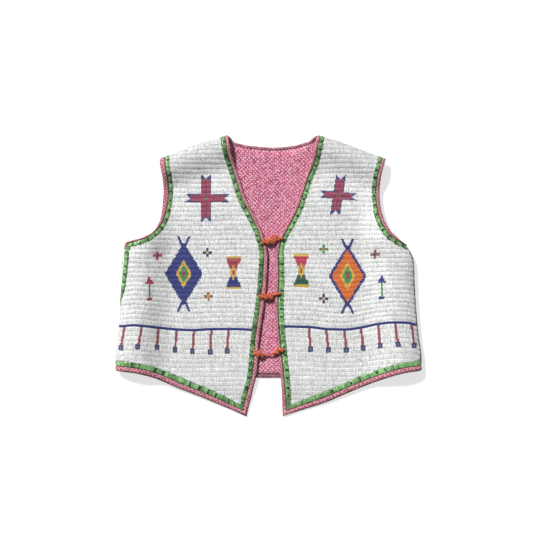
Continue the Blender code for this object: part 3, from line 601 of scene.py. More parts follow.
# Stations of the back's edges, and where it has inner points: arcs in from
# the outermost line, rows t, and rows counted down from the shoulder seam.
BACK_EDGE_IN = np.array([0, 6.0, 13.0, 20.0, 28.0, 40.0, 66.0])
BACK_ROWS_ARM = np.array([0, .05, .1, .2, .3, .42, .56, .7, .82, .92, 1])
BACK_ARCS = (-20, -13, -6, 1, 8, 15, 22, 28, 44, 74, 116, 160, 204, 248)

BACK_RING = 2.0       # the lining ends this far inside the back's outline


def back_edges():
    """Outline of the back by its four edges, each with its stations."""
    sides, neck, hem = back_outline()
    edges = {}
    for side in (RIGHT, LEFT):
        low_part = sides[side][0]
        high_part = along(sides[side][1], BACK_ROWS_ARM)[1:]
        both = np.vstack([low_part, high_part])
        both[:, 0] *= side
        edges[side] = both
    width = edges[LEFT][0, 0] - edges[RIGHT][0, 0]
    near = BACK_EDGE_IN / width
    across = np.concatenate([near, [.22, .32, .42, .5, .58, .68, .78], 1 - near[::-1]])
    bottom = along(hem, across)
    # The top edge: shoulder, neck, shoulder, by the same columns.
    tops = []
    for side, ends in ((RIGHT, (edges[RIGHT][-1], neck[0])),
                       (LEFT, (neck[-1], edges[LEFT][-1]))):
        q = np.linspace(ends[0][0], ends[1][0], 40)
        tops.append(np.column_stack([q, shoulder_t(side, q * side, True)]))
    cuts = (6, 14)   # columns where the neckline begins and ends
    first = along(tops[0], (across[:cuts[0] + 1]) / across[cuts[0]])
    middle = along(neck, (across[cuts[0]:cuts[1] + 1] - across[cuts[0]])
                   / (across[cuts[1]] - across[cuts[0]]))
    last = along(tops[1], (across[cuts[1]:] - across[cuts[1]]) / (1 - across[cuts[1]]))
    top = np.vstack([first, middle[1:-1], last])
    return edges, bottom, top, cuts


def shoulder_way(side, h, on_back=False):
    """The way of the shoulder seam in the chart, outwards."""
    t = shoulder_t(side, [h - 4.0, h + 4.0], on_back)
    return np.array([8.0, t[1] - t[0]])



# =================================================================== looks
BEAD_W, BEAD_L = 1.5, 1.2         # a bead across the string, and along it
LANE_ROWS = 7                     # beads in a lane
LINE_T = -92.5                    # mean height of the navy border line
LINE_ROWS = 5

# The border line of each front: columns x (outwards), y.
LINE = {
    RIGHT: [(31.0, -96.6), (59.3, -95.0), (101.8, -95.4), (135.4, -97.0),
            (160.2, -95.9), (193.8, -92.6), (222.1, -88.9), (238.1, -87.8),
            (256.0, -89.6)],
    LEFT: [(28.7, -90.4), (71.7, -91.5), (107.1, -95.4), (135.4, -95.9),
           (163.7, -92.4), (193.8, -85.8), (222.1, -82.8), (246.9, -83.7),
           (258.0, -87.0)],
}
# Pendants under it: columns x and y at the top, x and y of the box.
PENDANTS = {
    RIGHT: [(-253.5, -90.3, -260.7, -128.5), (-223.0, -92.9, -230.1, -126.4),
            (-194.0, -93.8, -197.0, -128.1), (-162.5, -98.1, -165.5, -132.6),
            (-131.7, -99.1, -134.5, -135.6), (-101.1, -97.4, -103.2, -136.3),
            (-70.6, -97.4, -73.6, -134.5)],
    LEFT: [(71.9, -93.8, 74.3, -131.5), (102.1, -95.9, 106.0, -133.1),
           (134.3, -97.0, 137.7, -132.6), (163.7, -93.8, 167.8, -129.6),
           (193.6, -88.9, 197.5, -124.8), (223.2, -85.9, 228.3, -122.3),
           (252.2, -86.9, 257.2, -124.4)],
}
# Forked crosses: centre x and y, reach up, down, left and right, half
# thickness of the upright and of the arms, and their leans in degrees.
CROSSES = {
    RIGHT: (-110.6, 136.0, 43.0, 43.6, 37.0, 42.0, 9.3, 7.4, 0.0, 0.0),
    LEFT: (123.0, 140.7, 37.4, 35.4, 32.6, 33.6, 8.9, 6.6, 8.8, 4.7),
}

WHITE = (0.80, 0.81, 0.81)
PALETTE = {
    "navy": (0.013, 0.024, 0.19), "rose": (0.50, 0.035, 0.095),
    "red": (0.38, 0.045, 0.068), "orange": (0.70, 0.15, 0.015),
    "yellow": (0.70, 0.43, 0.07), "green": (0.02, 0.27, 0.08),
    "dark_green": (0.012, 0.09, 0.045), "black": (0.012, 0.014, 0.02),
    "brown": (0.30, 0.09, 0.05), "pale": (0.13, 0.14, 0.22), "slate": (0.035, 0.045, 0.14),
    "dull_red": (0.29, 0.058, 0.078), "dull_rose": (0.36, 0.048, 0.108), "dull_navy": (0.04, 0.055, 0.19),
    "moss": (0.07, 0.16, 0.07),
}


def grain(a, b, seed=0):
    """Repeatable noise from 0 to 1 for whole numbers a and b."""
    n = np.sin(np.asarray(a) * 12.9898 + np.asarray(b) * 78.233 + seed * 37.719)
    n = n * 43758.5453
    return n - np.floor(n)


def ripple(h, t, seed=0.0):
    """Slow wander of the lanes and strings, from about -1 to 1."""
    return (0.5 * np.sin(h / 23.0 + 0.7 + seed) + 0.3 * np.sin(h / 41.0 + t / 57.0 + seed)
            + 0.25 * np.sin(h / 10.5 - t / 31.0 + 2.1 * seed))


class Line:
    """Height of the border line over a front's chart."""

    def __init__(self, side):
        rows = chart_of(side, LINE[side])
        self.h = np.array([r[0] for r in rows])
        self.t = np.array([r[1] for r in rows])

    def __call__(self, h):
        return hermite(self.h, self.t, h)


def lane_t(side, h, v, line=None):
    """Chart t of the row height v, where lanes follow the border line."""
    t = np.array(np.broadcast_to(v, np.broadcast(h, v).shape), float)
    for _ in range(4):
        near = np.exp(-((t - LINE_T) / 95.0) ** 2)
        sway = near * ((line(h) - LINE_T) if line else 0.0)
        t = v + sway + 0.9 * ripple(h, t, side * 1.3) * (1 - near)
    return t


def lane_place(row):
    """Which lane a bead row is in, and where across it, from 0 to 1."""
    row = np.asarray(row)
    over = row >= LINE_ROWS
    lane = np.where(over, (row - LINE_ROWS) // LANE_ROWS, -1 - (-1 - row) // LANE_ROWS)
    across = np.where(over, (row - LINE_ROWS) % LANE_ROWS, row % LANE_ROWS) / LANE_ROWS
    inside = (row >= 0) & (row < LINE_ROWS)
    return np.where(inside, 0, lane + over), np.where(inside, row / LINE_ROWS, across)


def hump(across):
    return np.sin(np.pi * np.clip(across, 0, 1)) ** 0.55


# ------------------------------------------------------------------- motifs
def cross_motif(side, x, t):
    """0 none, 1 navy, 2 rose, 3 green, 4 dark."""
    cx, cy, up, down, left, right, hv, hh, lean, tilt = CROSSES[side]
    x, t = x - cx, t - cy
    a = x - t * math.tan(math.radians(lean))      # across the upright
    b = t + x * math.tan(math.radians(tilt))      # across the arms
    out = np.zeros(x.shape, int)
    fork = 9.0
    tip = np.where(t >= 0, up, down)
    limit = tip - fork * (1 - abs(a) / hv)
    upright = (abs(a) <= hv) & (abs(t) <= limit)
    out[upright] = 2
    out[upright & ((abs(t) > tip - fork * 1.05) | (abs(a) > hv - 2.2))] = 1
    out[upright & (abs(a) < 0.8) & (abs(t) < tip - 12) & (np.floor(t / 2.4) % 2 == 0)] = 4
    tip = np.where(x >= 0, right, left)
    limit = tip - fork * (1 - abs(b) / hh)
    arm = (abs(b) <= hh) & (abs(x) <= limit)
    fresh = arm & (~upright | (abs(a) > hv - 2.2))
    out[fresh] = 2
    out[fresh & (abs(x) > hv + 1) & ((abs(x) > tip - fork * 1.05) | (abs(b) > hh - 1.8))] = 1
    out[arm & (abs(b) < 0.7) & (abs(x) < tip - 11) & (np.floor(x / 3.0) % 2 == 0)] = 4
    out[(abs(a) + abs(b)) < 3.8] = 3
    return out


def stepped(x, t, step=4.2):
    """Distances rounded to half lanes, for stepped edges."""
    return abs(x), (np.floor(abs(t) / step) + 0.5) * step


def diamond(x, t, wide, high):
    a, b = stepped(x, t)
    return a <= wide * (1 - b / high)


def tongue(x, t, wide, high):
    """A stepped triangle, its point up, from t = 0 to high."""
    _, b = stepped(x, t)
    return (t >= 0) & (abs(x) <= wide * (1 - b / high))


def big_motif(x, t, body, edge, paint):
    """A large stepped diamond with a box inside and a fork at each end."""
    paint(diamond(x, t, 34.0, 56.0), edge)
    paint(diamond(x, t, 28.5, 47.0), body)
    paint(diamond(x, t, 14.0, 25.0), "yellow")
    paint(diamond(x, t, 9.5, 17.0), "green")
    paint(diamond(x, t, 4.0, 9.0), "red")
    for way in (1, -1):
        for lean in (-1, 1):
            stem = x - lean * (3.0 + (way * t - 50.0) * 0.42)
            paint((abs(stem) < 2.3) & (way * t > 50.0) & (way * t < 66.5), edge)


def hourglass(x, t, top, low, band, paint):
    for way, shade in ((1, top), (-1, low)):
        wide = 1.5 + 11.5 * (np.floor(way * t / 4.2) + 1) / 6.0
        paint((way * t >= 0) & (way * t < 25.2) & (abs(x) <= wide), shade)
        paint((way * t >= 25.2) & (way * t < 29.4) & (abs(x) <= 13.0), band)
    paint(diamond(x, t, 7.5, 12.6), band)
    paint(diamond(x, t, 3.2, 6.0), "red")


def small_cross(x, t, shade, middle, paint, reach=8.2):
    paint((abs(x) < 2.2) & (abs(t) < reach), shade)
    paint((abs(t) < 2.4) & (abs(x) < reach), shade)
    paint((abs(x) < 2.2) & (abs(t) < 2.4), middle)


def arrow(x, t, shade, tip, paint):
    """A stepped point on a stem."""
    paint((abs(x) < 1.6) & (t < 4) & (t > -22.0), shade)
    paint(tongue(x, t - 2.0, 8.5, 14.0), tip)
    paint((abs(x) < 4.6) & (t <= -22.0) & (t > -27.0), tip)


def front_design(side, x, t, colours):
    def paint(where, shade):
        colours[where] = PALETTE[shade]

    kinds = cross_motif(side, x, t)
    for kind, shade in ((1, "dull_navy"), (2, "dull_rose"), (3, "moss"), (4, "black")):
        paint(kinds == kind, shade)
    if side == RIGHT:
        big_motif(x + 150.0, t - 2.0, "navy", "navy", paint)
        hourglass(x + 62.0, t - 4.0, "red", "navy", "yellow", paint)
        arrow(x + 210.0, t + 18.0, "green", "red", paint)
        small_cross(x + 108.0, t - 40.0, "navy", "yellow", paint)
        small_cross(x + 106.0, t + 38.0, "brown", "yellow", paint)
        small_cross(x + 196.0, t - 34.0, "rose", "navy", paint)
    else:
        big_motif(x - 140.0, t + 2.0, "orange", "navy", paint)
        hourglass(x - 58.0, t - 8.0, "rose", "dark_green", "yellow", paint)
        arrow(x - 200.0, t + 16.0, "green", "navy", paint)
        small_cross(x - 98.0, t - 46.0, "green", "orange", paint)
        small_cross(x - 98.0, t + 42.0, "navy", "yellow", paint)
        small_cross(x - 188.0, t - 36.0, "brown", "navy", paint)
    for x0, y0, x1, y1 in PENDANTS[side]:
        share = np.clip((t - y0) / (y1 - y0), 0, 1)
        off = abs(x - (x0 + (x1 - x0) * share))
        stem = (off < 2.3) & (t < y0 + 1.0) & (t > y1)
        paint(stem, "dull_red")
        box = (abs(x - x1) < 4.5) & (abs(t - y1) < 4.8)
        paint(box, "slate")
        paint(box & (abs(x - x1) < 1.4) & (abs(t - y1 + 0.4) < 2.2), "pale")


def bead_tones(colours, a, b, seed, spread=0.10):
    """Each bead's own shade: a little lighter or darker, some off colour."""
    tone = 1 + spread * (2 * grain(a, b, seed) - 1)
    odd = grain(a, b, seed + 1)
    tone = np.where(odd > 0.955, tone * 0.72, tone)
    tone = tone * (1 + 0.045 * np.sin(a / 9.0 + 3 * np.sin(b / 23.0)) * np.sin(b / 5.0 + seed))
    out = colours * tone[..., None]
    tint = (grain(a, b, seed + 2) - 0.5) * 0.05
    out[..., 0] *= 1 + tint
    out[..., 2] *= 1 - tint
    return np.clip(out, 0, 1)


# ------------------------------------------------------------------- meshes
def to_metres(points):
    return (np.asarray(points, float) - np.array([CENTRE[0], CENTRE[1], 0.0])) * MM


def new_object(name, points, faces, flip=False, uv=None, colours=None, smooth=True):
    """faces is a list of corner tuples; uv has one pair for each point, or a
    list for each corner; colours has one for each face."""
    if flip:
        faces = [tuple(reversed(f)) for f in faces]
    data = bpy.data.meshes.new(name)
    data.from_pydata(to_metres(points).tolist(), [], faces)
    loops = np.empty(len(data.loops), int)
    data.loops.foreach_get("vertex_index", loops)
    if uv is not None:
        layer = data.uv_layers.new(name="UVMap")
        layer.data.foreach_set("uv", np.asarray(uv, float)[loops].astype(np.float32).ravel())
    if colours is not None:
        counts = np.array([len(f) for f in faces])
        spread = np.repeat(np.asarray(colours, float), counts, axis=0)
        rgba = np.ones((len(spread), 4), np.float32)
        rgba[:, :3] = spread
        layer = data.color_attributes.new("beads", "FLOAT_COLOR", "CORNER")
        layer.data.foreach_set("color", rgba.ravel())
    data.polygons.foreach_set("use_smooth", np.full(len(data.polygons), smooth))
    data.update()
    thing = bpy.data.objects.new(name, data)
    bpy.context.scene.collection.objects.link(thing)
    return thing


def swept(rings, closed_ends=True):
    """Faces of a tube through rings of points (stops, sides)."""
    stops, sides = rings
    k, j = np.meshgrid(np.arange(stops - 1), np.arange(sides), indexing="ij")
    n = (j + 1) % sides
    faces = np.stack([k * sides + j, k * sides + n, (k + 1) * sides + n,
                      (k + 1) * sides + j], axis=-1).reshape(-1, 4).tolist()
    faces = [tuple(f) for f in faces]
    if closed_ends:
        faces.append(tuple(range(sides))[::-1])
        faces.append(tuple((stops - 1) * sides + i for i in range(sides)))
    return faces


def dense(line, step=2.0):
    run = np.concatenate([[0], np.cumsum(np.linalg.norm(np.diff(line, axis=0), axis=1))])
    return along(line, np.linspace(0, 1, max(2, int(run[-1] / step) + 1)))


def arc_of(line):
    return np.concatenate([[0], np.cumsum(np.linalg.norm(np.diff(line, axis=0), axis=1))])


def chunked_within(points, loop):
    return np.concatenate([within(part, loop) for part in np.array_split(points, 40)])


def chunked_gap(points, loop):
    return np.concatenate([gap_to(part, loop) for part in np.array_split(points, 40)])


def nearest_on(points, loop):
    """Foot of each point on a closed loop."""
    start, way = loop, np.roll(loop, -1, axis=0) - loop
    reach = points[:, None] - start[None]
    share = np.clip((reach * way).sum(-1) / np.maximum((way * way).sum(-1), 1e-9), 0, 1)
    foot = start[None] + share[..., None] * way
    best = np.linalg.norm(points[:, None] - foot, axis=-1).argmin(axis=1)
    return foot[np.arange(len(points)), best]


def bead_skin(name, surface, outward, columns, rows, t_of, keep_loop, relief,
              colour_of, top_t=None, snap_loop=None, snap_within=9.0, unit=(1.0, 1.0)):
    """A sheet of beads over a chart: one quad for each bead, or for unit
    beads, kept inside keep_loop.  rows are whole bead rows."""
    h = columns[None, :] * np.ones((len(rows), 1))
    v = np.asarray(rows, float)[:, None] * BEAD_L + LINE_T - LINE_ROWS * BEAD_L / 2
    t = t_of(h, v * np.ones((1, len(columns))))
    h = h + 0.22 * ripple(t * 0.7, h, 4.0)
    if top_t is not None:
        limit = top_t(h)
        t = np.minimum(t, limit)
    flat = np.column_stack([h.ravel(), t.ravel()])
    inside = chunked_within(flat, keep_loop).reshape(h.shape)
    if top_t is not None:
        inside |= (t >= limit - 1e-6) & chunked_within(
            np.column_stack([h.ravel(), t.ravel() - 0.3]), keep_loop).reshape(h.shape)
    r, c = h.shape
    full = inside[:-1, :-1] & inside[:-1, 1:] & inside[1:, 1:] & inside[1:, :-1]
    if top_t is not None:
        at_top = t >= limit - 1e-6
        full &= ~(at_top[:-1, :-1] & at_top[:-1, 1:])
    rr, cc = np.nonzero(full)
    quads = np.stack([rr * c + cc, rr * c + cc + 1, (rr + 1) * c + cc + 1,
                      (rr + 1) * c + cc], axis=1)
    used, index = np.unique(quads, return_inverse=True)
    quads = index.reshape(quads.shape)
    flat = flat[used]
    if snap_loop is not None:
        counts = np.bincount(quads.ravel(), minlength=len(flat))
        edge = np.nonzero(counts < 4)[0]
        feet = nearest_on(flat[edge], snap_loop)
        close = np.linalg.norm(feet - flat[edge], axis=1) < snap_within
        flat[edge[close]] = feet[close]
    row_of = np.asarray(rows)[used // c]
    column_of = used % c
    points = surface(flat[:, 0], flat[:, 1])
    out = normals(surface, flat[:, 0], flat[:, 1], outward)
    points = points + out * relief(flat, row_of, column_of)[:, None]
    middle = flat[quads].mean(axis=1)
    place = surface(middle[:, 0], middle[:, 1])[:, :2]
    colours = colour_of(middle, place, np.asarray(rows)[rr], cc)
    uv = np.column_stack([column_of * unit[0], row_of.astype(float)])
    if name.endswith("mirror"):
        uv[:, 0] *= -1
    return new_object(name, points, [tuple(q) for q in quads.tolist()],
                      flip=outward < 0, uv=uv, colours=colours)


# ---------------------------------------------------------------- materials
class Paint:
    """Short hand for one node material round a Principled shader."""

    def __init__(self, name):
        self.material = bpy.data.materials.new(name)
        self.material.use_nodes = True
        self.tree = self.material.node_tree
        self.shader = self.tree.nodes["Principled BSDF"]

    def node(self, kind, **values):
        made = self.tree.nodes.new(kind)
        for key, value in values.items():
            setattr(made, key, value)
        return made

    def put(self, socket, value):
        if hasattr(value, "is_output"):
            self.tree.links.new(value, socket)
        else:
            socket.default_value = value

    def math(self, operation, *values, clamp=False):
        made = self.node("ShaderNodeMath", operation=operation, use_clamp=clamp)
        for socket, value in zip(made.inputs, values):
            self.put(socket, value)
        return made.outputs[0]

    def vector(self, operation, *values):
        made = self.node("ShaderNodeVectorMath", operation=operation)
        for socket, value in zip(made.inputs, values):
            self.put(socket, value)
        return made.outputs[0]

    def mix(self, share, a, b, blend="MIX"):
        made = self.node("ShaderNodeMix", data_type="RGBA", blend_type=blend)
        self.put(made.inputs["Factor"], share)
        self.put(made.inputs["A"], a)
        self.put(made.inputs["B"], b)
        return made.outputs["Result"]

    def ramp(self, value, low, high, to_low=0.0, to_high=1.0, smooth=True):
        made = self.node("ShaderNodeMapRange",
                         interpolation_type="SMOOTHSTEP" if smooth else "LINEAR")
        for socket, item in zip(made.inputs, (value, low, high, to_low, to_high)):
            self.put(socket, item)
        return made.outputs["Result"]

    def noise(self, vector, scale, detail=2.0, roughness=0.5, distortion=0.0):
        made = self.node("ShaderNodeTexNoise")
        self.put(made.inputs["Vector"], vector)
        made.inputs["Scale"].default_value = scale
        made.inputs["Detail"].default_value = detail
        made.inputs["Roughness"].default_value = roughness
        made.inputs["Distortion"].default_value = distortion
        return made.outputs["Fac"]

    def split(self, vector):
        made = self.node("ShaderNodeSeparateXYZ")
        self.put(made.inputs[0], vector)
        return made.outputs

    def join(self, x, y, z=0.0):
        made = self.node("ShaderNodeCombineXYZ")
        for socket, value in zip(made.inputs, (x, y, z)):
            self.put(socket, value)
        return made.outputs[0]

    def uv(self):
        return self.node("ShaderNodeUVMap", uv_map="UVMap").outputs["UV"]

    def where(self):
        return self.node("ShaderNodeTexCoord").outputs["Object"]

    def bump(self, height, distance, strength=1.0, normal=None):
        made = self.node("ShaderNodeBump")
        made.inputs["Strength"].default_value = strength
        made.inputs["Distance"].default_value = distance
        self.put(made.inputs["Height"], height)
        if normal is not None:
            self.put(made.inputs["Normal"], normal)
        return made.outputs["Normal"]


def bead_material(name, roughness, coat, gap_shade, gap_share):
    """Glass seed beads on strings: u counts strings, v beads along them."""
    p = Paint(name)
    u, v, _ = p.split(p.uv())
    wander = p.noise(p.join(p.math("MULTIPLY", u, 0.13), p.math("MULTIPLY", v, 0.09)),
                     1.0, 1.0)
    u = p.math("ADD", u, p.math("MULTIPLY", p.math("SUBTRACT", wander, 0.5), 0.30))
    fu = p.math("SUBTRACT", p.math("FRACT", u), 0.5)
    fv = p.math("SUBTRACT", p.math("FRACT", v), 0.5)
    across = p.math("MULTIPLY", p.math("ABSOLUTE", fu), 2.0)
    length = p.math("MULTIPLY", p.math("ABSOLUTE", fv), 2.0)
    round_u = p.math("SUBTRACT", 1.0, p.math("POWER", across, 2.4), clamp=True)
    round_v = p.math("SUBTRACT", 1.0, p.math("POWER", length, 4.0), clamp=True)
    shape = p.math("SQRT", p.math("MULTIPLY", round_u, round_v))
    attribute = p.node("ShaderNodeVertexColor", layer_name="beads").outputs["Color"]
    gap = p.ramp(shape, 0.05, 0.62, gap_share, 0.0)
    colour = p.mix(gap, attribute, gap_shade)
    p.put(p.shader.inputs["Base Color"], colour)
    rough = p.ramp(shape, 0.1, 0.8, min(roughness + 0.3, 1), roughness)
    p.put(p.shader.inputs["Roughness"], rough)
    p.shader.inputs["Specular IOR Level"].default_value = 0.5
    p.shader.inputs["Coat Weight"].default_value = coat
    p.shader.inputs["Coat Roughness"].default_value = 0.12
    p.put(p.shader.inputs["Normal"], p.bump(shape, 0.0006, 0.75))
    return p.material


def calico_material(name, base, light, dark, scale, by_uv=False, cover=0.5, rate=3.0):
    """Rose cotton with a small pale print of curls and flecks."""
    p = Paint(name)
    place = p.vector("MULTIPLY", p.uv(), (MM, MM, MM)) if by_uv else p.where()
    big = p.vector("MULTIPLY", place, (scale, scale, scale))
    warp = p.noise(big, 0.5, 2.0)
    shift = p.math("MULTIPLY", p.math("SUBTRACT", warp, 0.5), 0.9)
    x, y, z = p.split(big)
    turned = p.join(p.math("ADD", p.math("ADD", x, p.math("MULTIPLY", y, 0.55)), shift),
                    p.math("SUBTRACT", p.math("MULTIPLY", y, 1.0), p.math("MULTIPLY", x, 0.35)),
                    z)
    cell = p.node("ShaderNodeTexVoronoi", feature="DISTANCE_TO_EDGE")
    p.put(cell.inputs["Vector"], turned)
    cell.inputs["Scale"].default_value = 1.0
    cell.inputs["Randomness"].default_value = 0.9
    curl = p.noise(turned, 1.35, 2.0, 0.55, 0.6)
    vein = p.ramp(cell.outputs["Distance"], 0.03, 0.16, 1.0, 0.0)
    rows = p.math("SINE", p.math("MULTIPLY", p.math("ADD", x, shift), rate))
    steps = p.math("SINE", p.math("MULTIPLY", p.math("SUBTRACT", y, shift), rate))
    fleck = p.noise(big, 1.9, 2.0, 0.6)
    lattice = p.math("ADD", p.math("MULTIPLY", p.math("MULTIPLY", rows, steps), 0.8),
                     p.math("ADD", p.math("MULTIPLY", p.math("SUBTRACT", curl, cover), 2.6),
                            p.math("MULTIPLY", p.math("SUBTRACT", fleck, 0.5), 2.2)))
    spot = p.ramp(lattice, -0.08, 0.34)
    marks = p.math("MAXIMUM", p.math("MULTIPLY", vein, p.ramp(curl, 0.44, 0.54, 0.0, 0.7)),
                   p.math("MULTIPLY", spot, 0.95))
    fine = p.noise(big, 3.1, 2.0, 0.6)
    shade = p.mix(p.ramp(p.noise(big, 0.16, 3.0), 0.35, 0.7, 0.0, 0.5), base, dark)
    shade = p.mix(p.ramp(fine, 0.52, 0.66, 0.0, 0.75), shade, dark)
    colour = p.mix(p.math("MULTIPLY", marks, p.ramp(fine, 0.3, 0.55, 0.55, 1.0)), shade, light)
    if by_uv:                        # painted shade where the strip turns under, from the strip's colours
        edge = p.node("ShaderNodeVertexColor", layer_name="beads").outputs["Color"]
        colour = p.mix(1.0, colour, edge, "MULTIPLY")
    p.put(p.shader.inputs["Base Color"], colour)
    px, py, _ = p.split(p.vector("MULTIPLY", place, (1 / 0.45 * 1000 * math.pi,) * 3))
    weave = p.math("MULTIPLY", p.math("SINE", px), p.math("SINE", py))
    rough = p.ramp(weave, -1.0, 1.0, 0.95, 0.8)
    p.put(p.shader.inputs["Roughness"], rough)
    p.shader.inputs["Sheen Weight"].default_value = 0.25
    p.shader.inputs["Sheen Roughness"].default_value = 0.5
    height = p.math("ADD", p.math("MULTIPLY", weave, 0.25),
                    p.math("MULTIPLY", p.noise(place, 260.0, 3.0, 0.6), 1.0))
    p.put(p.shader.inputs["Normal"], p.bump(height, 0.0007, 0.5))
    return p.material


def tie_material():
    p = Paint("tie")
    u, v, _ = p.split(p.uv())
    strand = p.math("SINE", p.math("MULTIPLY", p.math("ADD", p.math("MULTIPLY", v, 3.0),
                                                      p.math("MULTIPLY", u, 0.45)), 2 * math.pi))
    fibre = p.noise(p.join(p.math("MULTIPLY", u, 0.8), p.math("MULTIPLY", v, 9.0)), 2.2, 4.0, 0.7)
    patch = p.noise(p.join(u, v), 0.35, 2.0)
    colour = p.mix(p.ramp(fibre, 0.36, 0.54), (0.30, 0.016, 0.006, 1), (0.98, 0.185, 0.058, 1))
    colour = p.mix(p.ramp(patch, 0.52, 0.74, 0.0, 0.5), colour, (1.0, 0.37, 0.25, 1))
    # painted shade in the crevices between the plies
    colour = p.mix(p.ramp(strand, -1.0, 0.0, 0.95, 0.0), colour, (0.09, 0.006, 0.005, 1))
    p.put(p.shader.inputs["Base Color"], colour)
    p.put(p.shader.inputs["Roughness"], p.ramp(fibre, 0.3, 0.7, 0.9, 0.7))
    p.shader.inputs["Sheen Weight"].default_value = 0.3
    height = p.math("ADD", p.math("MULTIPLY", strand, 0.6), fibre)
    p.put(p.shader.inputs["Normal"], p.bump(height, 0.0006, 0.7))
    return p.material


def floor_material():
    p = Paint("floor")
    shade = p.mix(p.noise(p.where(), 4.0, 2.0), (0.40, 0.40, 0.40, 1), (0.43, 0.43, 0.43, 1))
    p.put(p.shader.inputs["Base Color"], shade)
    p.shader.inputs["Roughness"].default_value = 0.9
    p.shader.inputs["Specular IOR Level"].default_value = 0.1
    p.shader.inputs["Emission Color"].default_value = (1, 1, 1, 1)
    p.shader.inputs["Emission Strength"].default_value = 0.68
    return p.material


# -------------------------------------------------------------------- build
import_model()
scene = bpy.context.scene

# The camera and the light come first.
PIXEL = 1.77                      # millimetres on the floor for each pixel
camera_data = bpy.data.cameras.new("camera")
camera_data.lens, camera_data.sensor_width = 135.0, 36.0
far = 533 * PIXEL * MM * 135.0 / 36.0
camera = bpy.data.objects.new("camera", camera_data)
camera.location = ((266.5 - 268.5) * PIXEL * MM, (275 - 266.5) * PIXEL * MM, far + 0.009)
camera_data.clip_end = 20
scene.collection.objects.link(camera)
scene.camera = camera

world = bpy.data.worlds.new("studio")
world.use_nodes = True
world.node_tree.nodes["Background"].inputs[0].default_value = (0.93, 0.96, 1.0, 1)
world.node_tree.nodes["Background"].inputs[1].default_value = 0.20
scene.world = world


def sun(name, way, energy, angle, colour):
    data = bpy.data.lights.new(name, "SUN")
    data.energy, data.angle, data.color = energy, math.radians(angle), colour
    lamp = bpy.data.objects.new(name, data)
    lamp.rotation_euler = Vector(way).to_track_quat("-Z", "Y").to_euler()
    scene.collection.objects.link(lamp)


sun("key", (0.52, -0.72, -0.82), 4.60, 8.0, (1.0, 0.99, 0.975))

floor_data = bpy.data.meshes.new("floor")
floor_data.from_pydata([(-3, -3, 0), (3, -3, 0), (3, 3, 0), (-3, 3, 0)], [], [(0, 1, 2, 3)])
floor = bpy.data.objects.new("floor", floor_data)
floor.location.z = -0.0002
floor_data.materials.append(floor_material())
scene.collection.objects.link(floor)
scene.view_settings.view_transform = "Standard"
scene.view_settings.look = "None"

WHITE_BEADS = bead_material("white_beads", 0.30, 0.25, (0.26, 0.26, 0.25, 1), 0.62)
GREEN_BEADS = bead_material("green_beads", 0.30, 0.25, (0.03, 0.05, 0.02, 1), 0.62)
LINING_CLOTH = calico_material("lining_calico", (0.447, 0.052, 0.138, 1), (0.90, 0.53, 0.655, 1),
                               (0.19, 0.012, 0.05, 1), 1 / 0.0034, cover=0.56)
BINDING_CLOTH = calico_material("binding_calico", (0.365, 0.057, 0.105, 1), (0.78, 0.425, 0.485, 1),
                                (0.15, 0.018, 0.035, 1), 1 / 0.0031, by_uv=True, cover=0.56)
TIE_CORD = tie_material()


def finish_piece(thing, material, slot, *nodes):
    thing.data.materials.append(material)
    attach(thing, "root")
    if nodes:
        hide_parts(*nodes)
    return thing


def polygon_area(loop):
    x, y = loop[:, 0], loop[:, 1]
    return abs((x * np.roll(y, -1) - y * np.roll(x, -1)).sum()) / 2


# ------------------------------------------------------------- front panels
def front_dense_edge(side):
    """The free edge of a front, neck to shoulder tip, as one dense line, and
    the running length of each station of the faceted outline."""
    edge, hem, side_line, arm = front_outline(side)
    shares = np.linspace(0, 1, 120)
    t = HEM_SIDE_T[side] + (UNDERARM_T[side] - HEM_SIDE_T[side]) * shares
    side_fine = np.column_stack([seam(side, t), t])
    whole = np.vstack([dense(edge, 1.0)[:-1], dense(hem, 1.0)[:-1], side_fine[:-1],
                       dense(arm, 1.0)])
    line, at = front_stations(side)
    run = arc_of(whole)
    stops, start = [], 0
    for point in line:
        k = start + np.linalg.norm(whole[start:] - point, axis=1).argmin()
        stops.append(run[k])
        start = k
    return whole, run, np.array(stops), line, at


